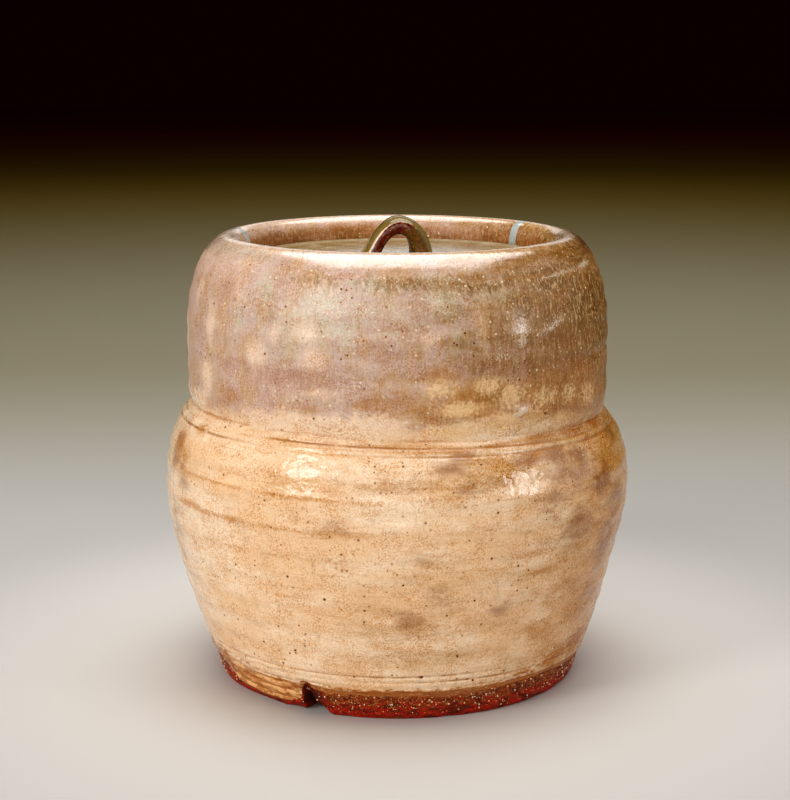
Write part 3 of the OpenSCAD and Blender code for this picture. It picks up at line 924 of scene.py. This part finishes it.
def glaze_jar(piece, grid):
    """Paints where each glaze lies on the jar."""
    degrees, height = grid.degrees, grid.lie / MM
    outside, on_wall, rim = grid.at("wall", "drum"), grid.at("wall"), grid.at("rim")

    def most(layer, *others):
        for other in others:
            layer = np.maximum(layer, other)
        return layer

    def spots(patches):
        return most(np.zeros_like(height), *(spot(degrees, height, *patch) for patch in patches))

    def laid(patches, *behind):
        for more in behind:
            patches = patches + round_the_back(*more)
        return spots(patches) * outside

    uneven = np.clip(0.95 + 0.4 * wander(grid.angle, IRON_SEED, (7, 12, 19, 31)), 0.2, 1.1)
    iron = np.where(height < BANDS_TOP, uneven, 1.0) * laid(
        IRON_PATCHES, (14, 1, (116, 126), (10, 24), (3, 6), (0.4, 0.9)),
        (20, 2, (40, 108), (12, 34), (0.8, 2), (0.4, 0.8)))
    mauve = laid(MAUVE_PATCHES, (14, 3, (30, 100), (8, 16), (4, 12), (0.4, 0.9)),
                 (9, 4, (115, 150), (10, 24), (5, 10), (0.4, 0.8)))
    ash = laid(ASH_PATCHES, (9, 5, (135, 165), (6, 14), (4, 10), (0.4, 0.9)))
    blob = laid(BLOB_PATCHES, (34, 6, (114, 158), (4, 8), (3, 8), (0.5, 0.95)))
    olive = laid(OLIVE_PATCHES, (11, 7, (112, 168), (10, 18), (6, 18), (0.4, 0.9)))
    # White chalk, and painted glints and highlights
    chalk_and_glints = laid(CHALK_AND_GLINT_PATCHES, (5, 8, (136, 166), (3, 8), (1.6, 5), (0.4, 0.8)))

    # The rim is ashy on the left. Inside it the glaze is thin over brown, more so low down and on the right
    low_rim = rim * (1 - smooth((height - LOW_RIM) / 5))
    crest = grid.at("rim", "drum") * bell((height - CREST_LINE) / 1.7)
    ash = most(ash, 0.5 * bell((degrees + 62) / 40, 4) * smooth((height - 168.5) / 4) * (outside | rim))
    iron = most(iron, low_rim * (0.85 + 0.2 * wander(grid.angle, RIM_SEED, (2, 3, 5))))
    olive = most(olive, rim * 0.75 * bell((degrees - 78) / 34, 4))
    mauve = most(mauve, rim * 0.3 * bell((degrees + 120) / 60, 4))
    # Cream along the crest, partly pale glaze and partly a painted highlight
    blob = most(blob, 0.75 * crest * (1 - 0.35 * bell((degrees - 75) / 30, 4)))

    # The drum starts at an edge that wanders over the crease, and the bare clay ends lower where it is torn
    edge = DRUM_EDGE + 2.4 * wander(grid.angle, DRUM_SEED, (1, 2, 3, 5, 8, 13))
    drum = outside * smooth((height - edge) / 13) + grid.at("rim", "well")
    left = bell((degrees + 45) / 17, 4)
    bare_top = BARE_TOP - 7.6 * left + 0.7 * wander(grid.angle, BARE_SEED, (3, 5, 8))
    bare = on_wall * (1 - smooth((height - bare_top + 1.2) / 2.4)) + grid.at("under", "foot")
    bare = most(bare, outside * smooth((grid.torn - 0.15) * 4) * (height < 9))
    umber = 0.95 * np.where(height < 11, bell((height - 10.6) / 6), bell((height - 11) / 2.2))
    umber = most(umber * (1 - 0.75 * left), spots(UMBER_PATCHES)) * on_wall
    tan = left * (1 - smooth((height - 10) / 6)) * smooth((height - 1.5) / 2) * on_wall
    # The notch is painted dark: dark clay and painted shade in its pit
    torn = smooth((grid.torn - 0.08) * 3) * (height < 9)

    # The brown stain and painted shade grow to the right, from further left on the drum than on the belly
    turned_to = np.mod(degrees + 90, 360) - 90
    stain_and_shade = smooth((turned_to - np.where(drum > 0.5, -14, 5)) / 75) * (1 - smooth((turned_to - 130) / 60))
    stain_and_shade = most(most(stain_and_shade, laid(STAIN_AND_SHADE_PATCHES)) * most(outside * 1.0, rim * 0.8), 0.6 * low_rim)
    shine = most(rim * smooth((height - 171.5) / 2.5), smooth((height - 166) / 6) * grid.at("drum"),
                 laid(SHINE_PATCHES))
    sprinkle = on_wall * (bare * (1 - 0.8 * left) + 0.35 * spot(degrees, height, *BELLY_GRIT))
    for name, *layers in (
            ("glaze", iron, mauve, blob, ash),
            ("finish", bare, np.clip(grid.groove, 0, 1), grid.drip, olive),
            ("zones", drum, tan, chalk_and_glints, grid.at("inside")),
            ("shine", shine, stain_and_shade, umber, torn),
            ("lie", grid.lie), ("turned", grid.angle / FULL_TURN), ("free", grid.free),
            ("sprinkle", np.clip(sprinkle, 0, 1))):
        paint(piece, name, *(flat(layer) for layer in layers))


def glaze_material(tints):
    """The jar's ash glaze over cream slip, and the bare clay of its foot."""
    jar = Surface("jar_ash_glaze")
    coats, mottle, ragged, speckle = jar.coats, jar.mottle, jar.ragged, jar.speckle
    iron, mauve, blob, ash = jar.painted("glaze")
    bare, groove, drip, olive = jar.painted("finish")
    drum, tan, chalk_and_glints, inside = jar.painted("zones")
    shine, stain_and_shade, umber, torn = jar.painted("shine")
    turned, lie = jar.number("turned"), jar.number("lie")
    level = jar.where.drawn(0.06, 0.06, 1.0)
    upright = jar.where.drawn(1.0, 1.0, 0.25)
    smear = jar.where.drawn(0.4, 0.4, 1.0)
    drum_foot = lie.eased(106 * MM, 112 * MM) * lie.eased(137 * MM, 128 * MM)
    right_foot = drum_foot * turned.eased(-0.015, 0.04)
    clouded = ragged(stain_and_shade, 7, 1.7, 0.5, smear)

    # Belly: cream slip over peach, with brown grains along the throwing lines
    belly = coats(tints.peach, (tints.cream, mottle(20, 0.38, 0.6, smear)),
                  (tints.peach, mottle(3, 0.46, 0.62, smear) * 0.5),
                  (tints.band, mottle(1.1, 0.54, 0.7, level, 4.0) * 0.3))
    # The belly darkens where it is stained, partly as painted shade on the right
    belly_stain = clouded * (1.0 - drum) * (mottle(5, 0.38, 0.62, smear) * 0.38 + 0.62)

    # Drum: rose brown, tawny streaks and grey ash, and ochre where the stain, partly painted shade, clouds
    # it
    tawny = coats(tints.pale_tawny, (tints.tawny, clouded))
    upper = coats(tawny, (tints.rose, mottle(8, 0.32, 0.6, jar.where.drawn(1.0, 1.0, 0.6))),
                  (tawny, mottle(0.7, 0.46, 0.62, upright) * 0.55), (tints.tawny, clouded * 0.5),
                  (tints.ash, ragged(ash, 3, 1.8, 0.4) * 0.9))
    # The drum darkens where it is stained, partly as painted shade on the right
    upper_stain_and_shade = clouded * drum * (mottle(2.2, 0.4, 0.6, upright) * 0.3 + 0.7) * (1.0 - drum_foot * 0.4)
    ochre = coats(tints.blob, (tints.ochre, clouded | right_foot))
    soft_blobs = ragged(blob, 2.6, 1.3, 0.55, upright) * 0.8 * (1.0 - right_foot * 0.75)
    grainy_blobs = ragged(blob, 1.2, 2.6, 0.2) * drum_foot * 0.9
    streaks = mottle(0.8, 0.5, 0.64, upright, 2.0) * drum * (olive * 0.5 + 0.22)
    runs = mottle(1.6, 0.5, 0.6, jar.where.drawn(1.0, 1.0, 0.16), 2.0) * drum * clouded * 0.4

    # Mauve and iron change from the drum to the belly
    mauve_tint = coats(tints.belly_mauve, (tints.mauve, drum))
    iron_tint = coats(tints.band, (tints.iron, drum), (tints.ember, right_foot))
    smudge = ragged(iron, 3, 1.6, 0.4, smear) * (drum_foot * 0.5 + 0.4)
    grains = ragged(iron, 0.8, 2.4, 0.16) * 0.75

    # Sand, flecks, specks and painted glints
    flecks = mottle(0.55, 0.52, 0.58, detail=1.0) * clouded * 0.5
    glints = speckle(1.3, 0.7, 0.34) * clouded * (mottle(6, 0.45, 0.6) * 0.5 + 0.15)
    sand = mottle(0.6, 0.46, 0.6, detail=2.0)
    lines = groove.eased(0.3, 0.8) * mottle(7, 0.3, 0.58) * 0.85
    upper_specks = speckle(2.2, 0.7, 0.24) * (drum * 0.65 + 0.12)
    crowd = mottle(13, 0.42, 0.6) * 0.9 + 0.1
    specks = speckle(2, 0.5, 0.26) * crowd | speckle(3.4, 0.4, 0.13)
    unrolled = jar.add("ShaderNodeCombineXYZ", {0: turned * (FULL_TURN * SKIN_RADIUS * MM), 1: lie})
    for degrees, up, radius in IRON_SPOTS:
        middle = (degrees * DEGREE * SKIN_RADIUS * MM, up * MM, 0.0)
        far = jar.add("ShaderNodeVectorMath", {0: unrolled, 1: middle}, "Value", operation="DISTANCE")
        specks = specks | far.eased(radius * MM, (radius - 0.3) * MM)

    # Foot: torn tan clay, a golden brown wash and red clay with dark lumps, and the notch painted dark,
    # partly as shade in its pit
    earth = coats(tints.tan, (tints.umber, mottle(1.2, 0.52, 0.64, level) * 0.7),
                  (tints.rust, mottle(2.6, 0.46, 0.55, smear) * lie.eased(14 * MM, 8 * MM) * 0.85),
                  (tints.umber, groove.eased(0.25, 0.7) * 0.8))
    burnt = ragged(umber, 1.3, 2.2, 0.25, smear) * 0.9
    golden = coats(tints.umber, (tints.gold, lie.eased(8 * MM, 12.5 * MM)),
                   (tints.umber, mottle(0.55, 0.46, 0.56, level) * 0.75),
                   (tints.tan, mottle(0.8, 0.56, 0.64, smear) * 0.45))
    clay = coats(tints.clay, (tints.umber, mottle(1.4, 0.46, 0.58, smear) * 0.7), (golden, burnt),
                 (tints.strap_dark, mottle(2.2, 0.5, 0.58, smear) * 0.7),
                 (golden, mottle(1.1, 0.56, 0.62) * 0.6),
                 (tints.tan, mottle(0.7, 0.56, 0.62, detail=1.0) * burnt * 0.6),
                 (tints.strap_dark, torn * 0.8))
    bare_edge = ragged(bare, 1.8, 1.6, 0.2)

    colour = coats(
        belly, (upper, ragged(drum, 3.2, 1.8, 0.35)),
        (mauve_tint, ragged(mauve, 4, 1.6, 0.45, smear) * 0.88),
        (iron_tint, smudge | grains), (tints.olive, ragged(olive, 2, 1.7, 0.45, upright) * 0.9),
        (tints.drum_stain, upper_stain_and_shade, "MULTIPLY"), (ochre, soft_blobs | grainy_blobs),
        (tints.belly_stain, belly_stain, "MULTIPLY"), (tints.fleck, flecks), (tints.grain, glints),
        # White chalk and painted glints over the glaze
        (ochre, streaks), (tints.run, runs), (tints.grain, ragged(chalk_and_glints, 0.7, 2.8, 0.12) * 0.6),
        (tints.sand, sand * (mottle(9, 0.4, 0.6) * 0.4 + 0.28), "MULTIPLY"), (tints.line, lines),
        (tints.pale_speck, upper_specks), (tints.band, speckle(2, 0.5, 0.45) * crowd * 0.3),
        (tints.speck, specks * 0.95), (earth, ragged(tan, 1.8, 1.6, 0.25) * 0.85), (golden, burnt),
        (clay, bare_edge), (tints.drip, drip.eased(0.15, 0.5)), (tints.rose, inside * 0.8))
    wet_belt = lie.eased(74 * MM, 84 * MM) * lie.eased(108 * MM, 100 * MM) * 0.8
    rough = coats(0.27, (0.17, mottle(5, 0.35, 0.65)), (0.1, wet_belt), (0.42, drum * 0.9),
                  (0.5, bare_edge), (0.16, shine))
    height = jar.skin(0.45, 0.2) + upper_specks * 0.08 + bare_edge * sand * 0.5
    jar.fire(colour, rough, Normal=jar.bump(height), Coat_Weight=shine * 0.9, Coat_Roughness=0.2,
             Coat_IOR=1.85, IOR=1.48)


def grain_material(tints):
    """The feldspar grains in the bare clay."""
    grain = Surface("feldspar_grain")
    cloud = grain.mottle(1.5, 0.35, 0.65)
    grain.fire(grain.coats(tints.tan, (tints.grain, cloud)), grain.coats(0.5, (0.3, cloud)))


def lid_material(tints):
    """The lid's ash glaze, with a painted reflection on top and thin on its edge."""
    lid = Surface("lid_ash_glaze")
    edge, ring, pale_reflection, under = lid.painted("glaze")
    specks = lid.speckle(2.6, 0.4, 0.2)
    colour = lid.coats(
        tints.lid, (tints.ash, lid.mottle(9, 0.42, 0.7) * 0.3),
        # The drip colour here is a painted reflection on the lid
        (tints.olive, lid.mottle(4, 0.5, 0.75) * 0.55), (tints.iron, ring * 0.2), (tints.drip, pale_reflection * 0.95),
        (tints.blob, lid.ragged(edge, 1.6, 1.1, 0.2) * 0.1), (tints.grain, specks * 0.6),
        (tints.speck, lid.speckle(2.4, 0.7, 0.15) * 0.7), (tints.umber, under))
    rough = lid.coats(0.3, (0.12, lid.mottle(6, 0.35, 0.65)), (0.6, under))
    lid.fire(colour, rough, Normal=lid.bump(lid.skin(0.2, 0.15) + specks * 0.06), Specular_IOR_Level=0.2)


def strap_material(tints):
    """The strap's ash glaze: olive on the right, ash on top and pale along its front corner, partly thin
    glaze and partly a painted highlight.
    """
    strap = Surface("strap_ash_glaze")
    top, pale_corner_and_highlight, right, _ = strap.painted("glaze")
    colour = strap.coats(
        tints.strap_dark, (tints.strap_olive, strap.ragged(right, 3, 0.8, 0.3)),
        (tints.strap_top, strap.ragged(top, 3, 0.6, 0.3)), (tints.olive, strap.mottle(3, 0.5, 0.75) * 0.4),
        (tints.iron, strap.mottle(0.9, 0.54, 0.64) * 0.5),
        (tints.blob, strap.ragged(pale_corner_and_highlight, 1.4, 0.8, 0.2) * (0.9 - right * 0.85)),
        (tints.grain, strap.speckle(1.9, 0.4, 0.16) * 0.5))
    rough = strap.coats(0.22, (0.1, strap.mottle(4, 0.35, 0.65)), (0.45, right))
    strap.fire(colour, rough, Normal=strap.bump(strap.skin(0.3, 0.12)), IOR=1.5)


def floor_material(tints):
    """The floor's paper, with painted light near the jar that fills the jar's shadow and painted shade that
    darkens it behind the jar.
    """
    paper = Surface("studio_floor")
    back = paper.add("ShaderNodeSeparateXYZ", {0: paper.where}, "Y")
    far = paper.add("ShaderNodeVectorMath", {0: paper.where}, "Value", operation="LENGTH")
    colour = paper.coats(
        tints.floor, (tints.floor_dusk, back.eased(0.08, 0.7)), (tints.floor_near, far.eased(0.25, 0.09)),
        (tints.floor_night, far.eased(0.9, 2.6)), (tints.floor_end, far.eased(2.45, 3.6)))
    paper.fire(colour, 0.85, Specular_IOR_Level=0.2)


# Geometry Nodes

def kept_field(tree, name):
    """One number painted on the piece."""
    return made(tree, "GeometryNodeInputNamedAttribute", {"Name": name}, "Attribute", data_type="FLOAT")


def piece_tree(name, **inputs):
    """A new node tree for a piece, whose inputs are named in words."""
    named = {key.replace("_", " "): value for key, value in inputs.items()}
    return node_group("GeometryNodeTree", name, {"Geometry": "Geometry", **named, "Material": "Material"},
                      "Geometry")


def ended(tree, given, out, geometry):
    """Ends a tree: what it makes is made real and coated."""
    real = made(tree, "GeometryNodeRealizeInstances", {"Geometry": geometry})
    coated = made(tree, "GeometryNodeSetMaterial", {"Geometry": real, "Material": given["Material"]})
    wire(tree, out, {0: coated})
    return tree


def throwing_tree():
    """Raises spiral finger ridges and slow waves on the wall, along its normals."""
    tree, given, out = piece_tree("throwing_marks", Ridge_Height=0.0, Ridge_Pitch=0.01, Wave_Height=0.0,
                                  Wave_Size=0.01, Seed=0.0)
    turns = kept_field(tree, "lie") / given["Ridge Pitch"] - kept_field(tree, "turned")
    ridge = maths("SINE", turns * FULL_TURN) * given["Ridge Height"]
    spot_at = made(tree, "GeometryNodeInputPosition").drawn(1.0, 1.0, 1.6)
    cloud = made(tree, "ShaderNodeTexNoise", {
        "Vector": spot_at, "W": given["Seed"], "Scale": 1.0 / given["Wave Size"], "Detail": 1.0},
        noise_dimensions="4D")
    wave = (cloud - 0.5) * (given["Wave Height"] * 2.0)
    lift = (ridge + wave) * kept_field(tree, "free")
    offset = made(tree, "ShaderNodeVectorMath", {0: made(tree, "GeometryNodeInputNormal"), "Scale": lift},
                  operation="SCALE")
    return ended(tree, given, out, made(tree, "GeometryNodeSetPosition", {
        "Geometry": given["Geometry"], "Offset": offset}))


def grit_tree():
    """Scatters small angular grains over the surface where it is sprinkled."""
    tree, given, out = piece_tree("feldspar_grit", Density=1000.0, Smallest=0.0002, Largest=0.0005, Seed=0)
    points = made(tree, "GeometryNodeDistributePointsOnFaces", {
        "Mesh": given["Geometry"], "Density": kept_field(tree, "sprinkle") * given["Density"],
        "Seed": given["Seed"]}, "Points")
    grain = made(tree, "GeometryNodeMeshIcoSphere", {"Radius": 1.0, "Subdivisions": 1}, "Mesh")
    chance = lay(tree, "FunctionNodeRandomValue", {"Min": 0.0, "Max": 1.0, "Seed": given["Seed"]},
                 data_type="FLOAT")
    chance = Field(tree, next(socket for socket in chance.outputs if socket.enabled))
    size = given["Smallest"] + (given["Largest"] - given["Smallest"]) * maths("POWER", chance, 2.6)
    any_way = (6.28, 6.28, 6.28)
    way = made(tree, "FunctionNodeRandomValue", {0: (0.0, 0.0, 0.0), 1: any_way}, data_type="FLOAT_VECTOR")
    flattened = made(tree, "ShaderNodeCombineXYZ", {0: size, 1: size * 0.8, 2: size})
    return ended(tree, given, out, made(tree, "GeometryNodeInstanceOnPoints", {
        "Points": points, "Instance": grain, "Rotation": way, "Scale": flattened}))


def grow(piece, tree, sizes, material):
    """Runs a node tree on a piece with the sizes that its inputs name, and keeps what it makes."""
    modifier = piece.modifiers.new(tree.name, "NODES")
    modifier.node_group = tree
    for socket in tree.interface.items_tree:
        if socket.in_out == "INPUT" and socket.name == "Material":
            modifier[socket.identifier] = bpy.data.materials[material]
        elif socket.in_out == "INPUT" and socket.name != "Geometry":
            value = getattr(sizes, socket.name.lower().replace(" ", "_"))
            modifier[socket.identifier] = type(socket.default_value)(value)
    finished(piece)


# The lid and its strap

# Middle and half widths of the pale patch painted on the lid as a reflection
LID_REFLECTION = (7 * MM, 8 * MM, 0)
LID_REFLECTION_HALF = (30 * MM, 24 * MM)
# How square the section of the strap is: 1 is round, 0 is square
STRAP_ROUNDNESS = 0.56


def lid_outline(lid):
    """The lid's outline from the middle of its underside, round its edge, to the middle of its top."""
    r, e, low, top, rounding = lid.radius, lid.edge_height, lid.under, lid.top, lid.round_under
    hollow_in = lid.hollow_radius - 4 * lid.hollow
    edge_in = r - lid.edge_width
    swell = curve((r - e, top + e), (r - lid.edge_width * QUARTER, top + e),
                  (r - lid.edge_width * 2 * THIRD, top), (edge_in, top))
    return np.concatenate([
        straight((0, low + lid.hollow), (hollow_in, low + lid.hollow), 5 * MM),
        straight((hollow_in, low + lid.hollow), (lid.hollow_radius, low), 2 * MM)[1:],
        straight((lid.hollow_radius, low), (r - rounding, low), 4 * MM)[1:],
        arc((r - rounding, low + rounding), rounding, -90, 0, 0.4 * MM)[1:],
        straight((r, low + rounding), (r, top), 1 * MM)[1:],
        arc((r - e, top), e, 0, 90, 0.3 * MM)[1:],
        spaced(swell, 0.5 * MM)[1:],
        straight((edge_in, top), (0, top), 1.05 * MM)[1:]])


def strap_line(strap):
    """The middle of the strap from its left foot over the crown to its right foot, and its direction."""
    foot, crown, half = strap.span / 2, strap.crown, strap.steps // 2 + 1
    left = curve((-foot, 0), (strap.left_lean - foot, crown * QUARTER),
                 (between(strap.crown_off, -foot, THIRD), crown), (strap.crown_off, crown), half)
    right = curve((strap.crown_off, crown), (between(strap.crown_off, foot, QUARTER), crown),
                  (foot, crown * QUARTER), (foot, 0), half)
    line = np.concatenate([left, right[1:]])
    way = np.gradient(line, axis=0)
    way /= np.linalg.norm(way, axis=1)[:, None]
    way[0], way[-1] = (0, 1), (0, -1)
    return line, way


# The add-on

class WATERJAR_OT_mix_glazes(Operator):
    """Builds the shared effects and the glazes of every piece"""
    bl_idname = "waterjar.mix_glazes"
    bl_label = "Mix Glazes"

    def execute(self, context):
        for build in (build_speckle, build_mottle, build_ragged, build_skin):
            build()
        for mix in (glaze_material, grain_material, lid_material, strap_material, floor_material):
            mix(context.scene.waterjar_tints)
        return {"FINISHED"}


class WATERJAR_OT_throw_body(Operator):
    """Throws the jar with its foot, waist, rolled rim and lid well"""
    bl_idname = "waterjar.throw_body"
    bl_label = "Throw Body"

    def execute(self, context):
        scene, marks = context.scene, context.scene.waterjar_marks
        grid = JarGrid(scene.waterjar_wall, scene.waterjar_foot, marks, scene.waterjar_lid.top)
        jar = plain_mesh("thrown_jar", flat(grid.points), lathe(*grid.angle.shape))
        glaze_jar(jar, grid)
        grow(jar, throwing_tree(), marks, "jar_ash_glaze")
        set_out(jar, "jar", "jar_glaze", "jar_body")
        return {"FINISHED"}


class WATERJAR_OT_scatter_grit(Operator):
    """Scatters feldspar grains over the bare clay of the foot"""
    bl_idname = "waterjar.scatter_grit"
    bl_label = "Scatter Grit"

    def execute(self, context):
        grit = bpy.data.objects.new("foot_grit", bpy.data.objects["thrown_jar"].data.copy())
        context.scene.collection.objects.link(grit)
        grow(grit, grit_tree(), context.scene.waterjar_grit, "feldspar_grain")
        set_out(grit, "jar", "jar_glaze")
        return {"FINISHED"}


class WATERJAR_OT_turn_lid(Operator):
    """Turns the lid with its raised edge and the hollow under it"""
    bl_idname = "waterjar.turn_lid"
    bl_label = "Turn Lid"

    def execute(self, context):
        lid = context.scene.waterjar_lid
        angles = np.linspace(-math.pi, math.pi, lid.columns, endpoint=False)
        a, r, z = turned_grid(lid_outline(lid), angles)
        edge_in = lid.radius - lid.edge_width
        top = (z >= lid.top - 1e-6) & (r < edge_in)
        rings = np.sin(FULL_TURN * (r / lid.ring_pitch - a / FULL_TURN))
        z -= top * (lid.ring_height * (1 + rings) * smooth(r / (8 * MM)))
        points = standing(a, r, z)
        edge = (z > lid.top - 2 * MM) & (r > edge_in)
        ring = top * (0.5 - 0.5 * rings)
        # A pale patch painted on the lid as a reflection
        pale_reflection = bell((points - LID_REFLECTION)[..., :2] / LID_REFLECTION_HALF).prod(-1)
        under = z < lid.under + lid.hollow + 0.1 * MM
        disc = plain_mesh("thrown_lid", flat(points), lathe(*a.shape), "lid_ash_glaze")
        paint(disc, "glaze", flat(edge), flat(ring), flat(pale_reflection), flat(under))
        set_out(disc, "lid", "lid_glaze", "lid_disc")
        return {"FINISHED"}


class WATERJAR_OT_pull_strap(Operator):
    """Pulls the strap handle and lutes it on to the lid"""
    bl_idname = "waterjar.pull_strap"
    bl_label = "Pull Strap"

    def execute(self, context):
        strap, lid_top = context.scene.waterjar_strap, context.scene.waterjar_lid.top
        line, way = strap_line(strap)
        count, sides = len(line), strap.sides
        t = np.linspace(0, 1, count)[:, None]
        a = FULL_TURN * np.arange(sides)[None, :] / sides
        ends = np.abs(2 * t - 1)
        half_t = (strap.thickness + strap.taper * (2 * t - 1)) / 2 + 0.9 * MM * ends ** 14
        half_w = (strap.width + strap.foot_spread * ends ** 4) / 2

        def filled(x):
            return np.abs(x) ** STRAP_ROUNDNESS * np.sign(x)

        across, level = filled(np.sin(a)), filled(np.cos(a))
        dome = (level > 0) * strap.dome * (1 - across ** 2)
        thumb = 0.25 * MM * bell((t - 0.5) / 0.22) * (level < 0) * (1 - across ** 2)
        wobble = np.sin(5 * math.pi * t + 2 * a) + np.sin(3.3 * math.pi * t - a)
        wobble *= 0.14 * MM * (1 - ends ** 6)
        out = level * (half_t + dome - thumb) + wobble * np.cos(a)
        x = line[:, :1] - way[:, 1:] * out
        y = across * half_w + wobble * np.sin(a)
        z = np.maximum(line[:, 1:] + way[:, :1] * out, 0)
        c, s = math.cos(strap.turn), math.sin(strap.turn)
        points = np.stack([x * c - y * s - strap.offset, x * s + y * c, z + lid_top], -1).reshape(-1, 3)
        pairs = [(i + j, i + (j + 1) % sides) for i in range(0, (count - 1) * sides, sides)
                 for j in range(sides)]
        faces = [(p, q, q + sides, p + sides) for p, q in pairs]
        faces.append(tuple(reversed(range(sides))))
        faces.append(tuple((count - 1) * sides + j for j in range(sides)))
        piece = plain_mesh("pulled_strap", points, faces, "strap_ash_glaze")
        top = (level > 0) * (1 - smooth((np.abs(across) - 0.8) / 0.18))
        # A pale line along the front corner, partly thin glaze and partly a painted highlight, weaker
        # towards the right leg
        pale_corner_and_highlight = bell((-across - 0.93) / 0.075) * smooth((level - 0.45) / 0.3)
        pale_corner_and_highlight = pale_corner_and_highlight * (1 - 0.45 * smooth((t - 0.22) / 0.2))
        right = smooth((t - 0.55) / 0.2)
        masks = np.broadcast_arrays(top, pale_corner_and_highlight, right, np.ones((count, sides)))
        paint(piece, "glaze", *(mask.ravel() for mask in masks))
        set_out(piece, "lid", "handle_glaze", "lid_handle")
        return {"FINISHED"}


# Softboxes: place, what it faces, width and height, name of its power and its share of that power
MIDDLE = (0.0, 0.0, 0.09)
SOFTBOXES = {
    "overhead_softbox": ((0.08, 0.30, 1.45), (0.08, 0.301, 0.0), (1.6, 1.5), "overhead", 1.0),
    "left_softbox": ((-0.86, -0.80, 0.62), MIDDLE, (0.37, 0.56), "left_key", 1.0),
    "right_softbox": ((1.10, -0.56, 0.34), MIDDLE, (0.26, 0.30), "right_fill", 1.0),
    "front_softbox": ((-0.3, -1.8, 0.75), MIDDLE, (1.6, 1.2), "front_fill", 1.0),
    "right_wall": ((1.8, 0.1, 0.8), MIDDLE, (1.6, 1.4), "walls", 1.0),
    "left_wall": ((-1.8, 0.1, 0.8), MIDDLE, (1.6, 1.4), "walls", 0.7),
    "back_softbox": ((0.0, 2.2, 0.85), (0.0, 0.0, 0.16), (1.2, 0.5), "back_fill", 1.0),
}
# Toe of the tone curve: the shades and how they are shown
TOE = ((0.02, 0.007), (0.05, 0.026), (0.1, 0.07), (0.2, 0.17))


class WATERJAR_OT_set_stage(Operator):
    """Sets out the pale floor, the soft studio lights and the camera"""
    bl_idname = "waterjar.set_stage"
    bl_label = "Set Stage"

    def execute(self, context):
        scene, stage = context.scene, context.scene.waterjar_stage
        half = stage.floor_size / 2
        corners = [(-half, -half, 0), (half, -half, 0), (half, half, 0), (-half, half, 0)]
        floor = plain_mesh("studio_floor", corners, [(0, 1, 2, 3)], "studio_floor")
        for name, (stand, aim, size, watts, part) in SOFTBOXES.items():
            light = bpy.data.lights.new(name, "AREA")
            light.shape = "RECTANGLE"
            light.size, light.size_y = size
            light.energy = getattr(stage, watts) * part
            lamp = bpy.data.objects.new(name, light)
            lamp.location = stand
            lamp.rotation_euler = (Vector(aim) - Vector(stand)).to_track_quat("-Z", "Y").to_euler()
            lamp.visible_camera = False
            scene.collection.objects.link(lamp)
        world = bpy.data.worlds.new("dim_room")
        world.use_nodes = True
        room = world.node_tree.nodes["Background"].inputs
        room["Color"].default_value = (*scene.waterjar_tints.room, 1.0)
        room["Strength"].default_value = stage.gloom
        scene.world = world
        view = scene.view_settings
        view.view_transform, view.look = "Standard", "None"
        view.gamma, view.exposure = 0.95, 0.17
        view.use_curve_mapping = True
        for shade, shown in TOE:
            view.curve_mapping.curves[3].points.new(shade, shown)
        view.curve_mapping.update()
        data = bpy.data.cameras.new("front_camera")
        data.lens, data.sensor_width, data.sensor_fit = stage.lens, 36.0, "AUTO"
        data.clip_start, data.clip_end = 0.01, 100.0
        camera = bpy.data.objects.new("front_camera", data)
        camera.location = (stage.camera_side, -stage.camera_distance, stage.camera_height)
        camera.rotation_euler = (math.pi / 2 - stage.camera_pitch, 0.0, 0.0)
        scene.collection.objects.link(camera)
        scene.camera = camera
        return {"FINISHED"}


class WATERJAR_PT_panel(Panel):
    """The steps that make the jar, in order, with their sizes"""
    bl_label = "Water Jar"
    bl_idname = "WATERJAR_PT_panel"
    bl_space_type = "VIEW_3D"
    bl_region_type = "UI"
    bl_category = "Water Jar"

    def draw(self, context):
        for step, sizes in STEPS:
            box = self.layout.box()
            box.operator(step.bl_idname)
            for name in sizes:
                group = getattr(context.scene, name)
                for key in group.bl_rna.properties.keys():
                    if key not in ("rna_type", "name"):
                        box.prop(group, key)


SIZE_GROUPS = {
    "waterjar_wall": WallSizes,
    "waterjar_foot": FootSizes,
    "waterjar_marks": MarkSizes,
    "waterjar_lid": LidSizes,
    "waterjar_strap": StrapSizes,
    "waterjar_grit": GritSizes,
    "waterjar_tints": GlazeTints,
    "waterjar_stage": StageSizes,
}
STEPS = (
    (WATERJAR_OT_mix_glazes, ("waterjar_tints",)),
    (WATERJAR_OT_throw_body, ("waterjar_wall", "waterjar_foot", "waterjar_marks")),
    (WATERJAR_OT_scatter_grit, ("waterjar_grit",)),
    (WATERJAR_OT_turn_lid, ("waterjar_lid",)),
    (WATERJAR_OT_pull_strap, ("waterjar_strap",)),
    (WATERJAR_OT_set_stage, ("waterjar_stage",)),
)
CLASSES = tuple(SIZE_GROUPS.values()) + tuple(step for step, _ in STEPS) + (WATERJAR_PT_panel,)


def register():
    for made in CLASSES:
        bpy.utils.register_class(made)
    for name, group in SIZE_GROUPS.items():
        setattr(bpy.types.Scene, name, PointerProperty(type=group))


def unregister():
    for name in SIZE_GROUPS:
        delattr(bpy.types.Scene, name)
    for made in reversed(CLASSES):
        bpy.utils.unregister_class(made)


def main():
    register()
    bpy.ops.waterjar.mix_glazes()
    bpy.ops.waterjar.throw_body()
    bpy.ops.waterjar.scatter_grit()
    bpy.ops.waterjar.turn_lid()
    bpy.ops.waterjar.pull_strap()
    bpy.ops.waterjar.set_stage()


if __name__ == "__main__":
    main()
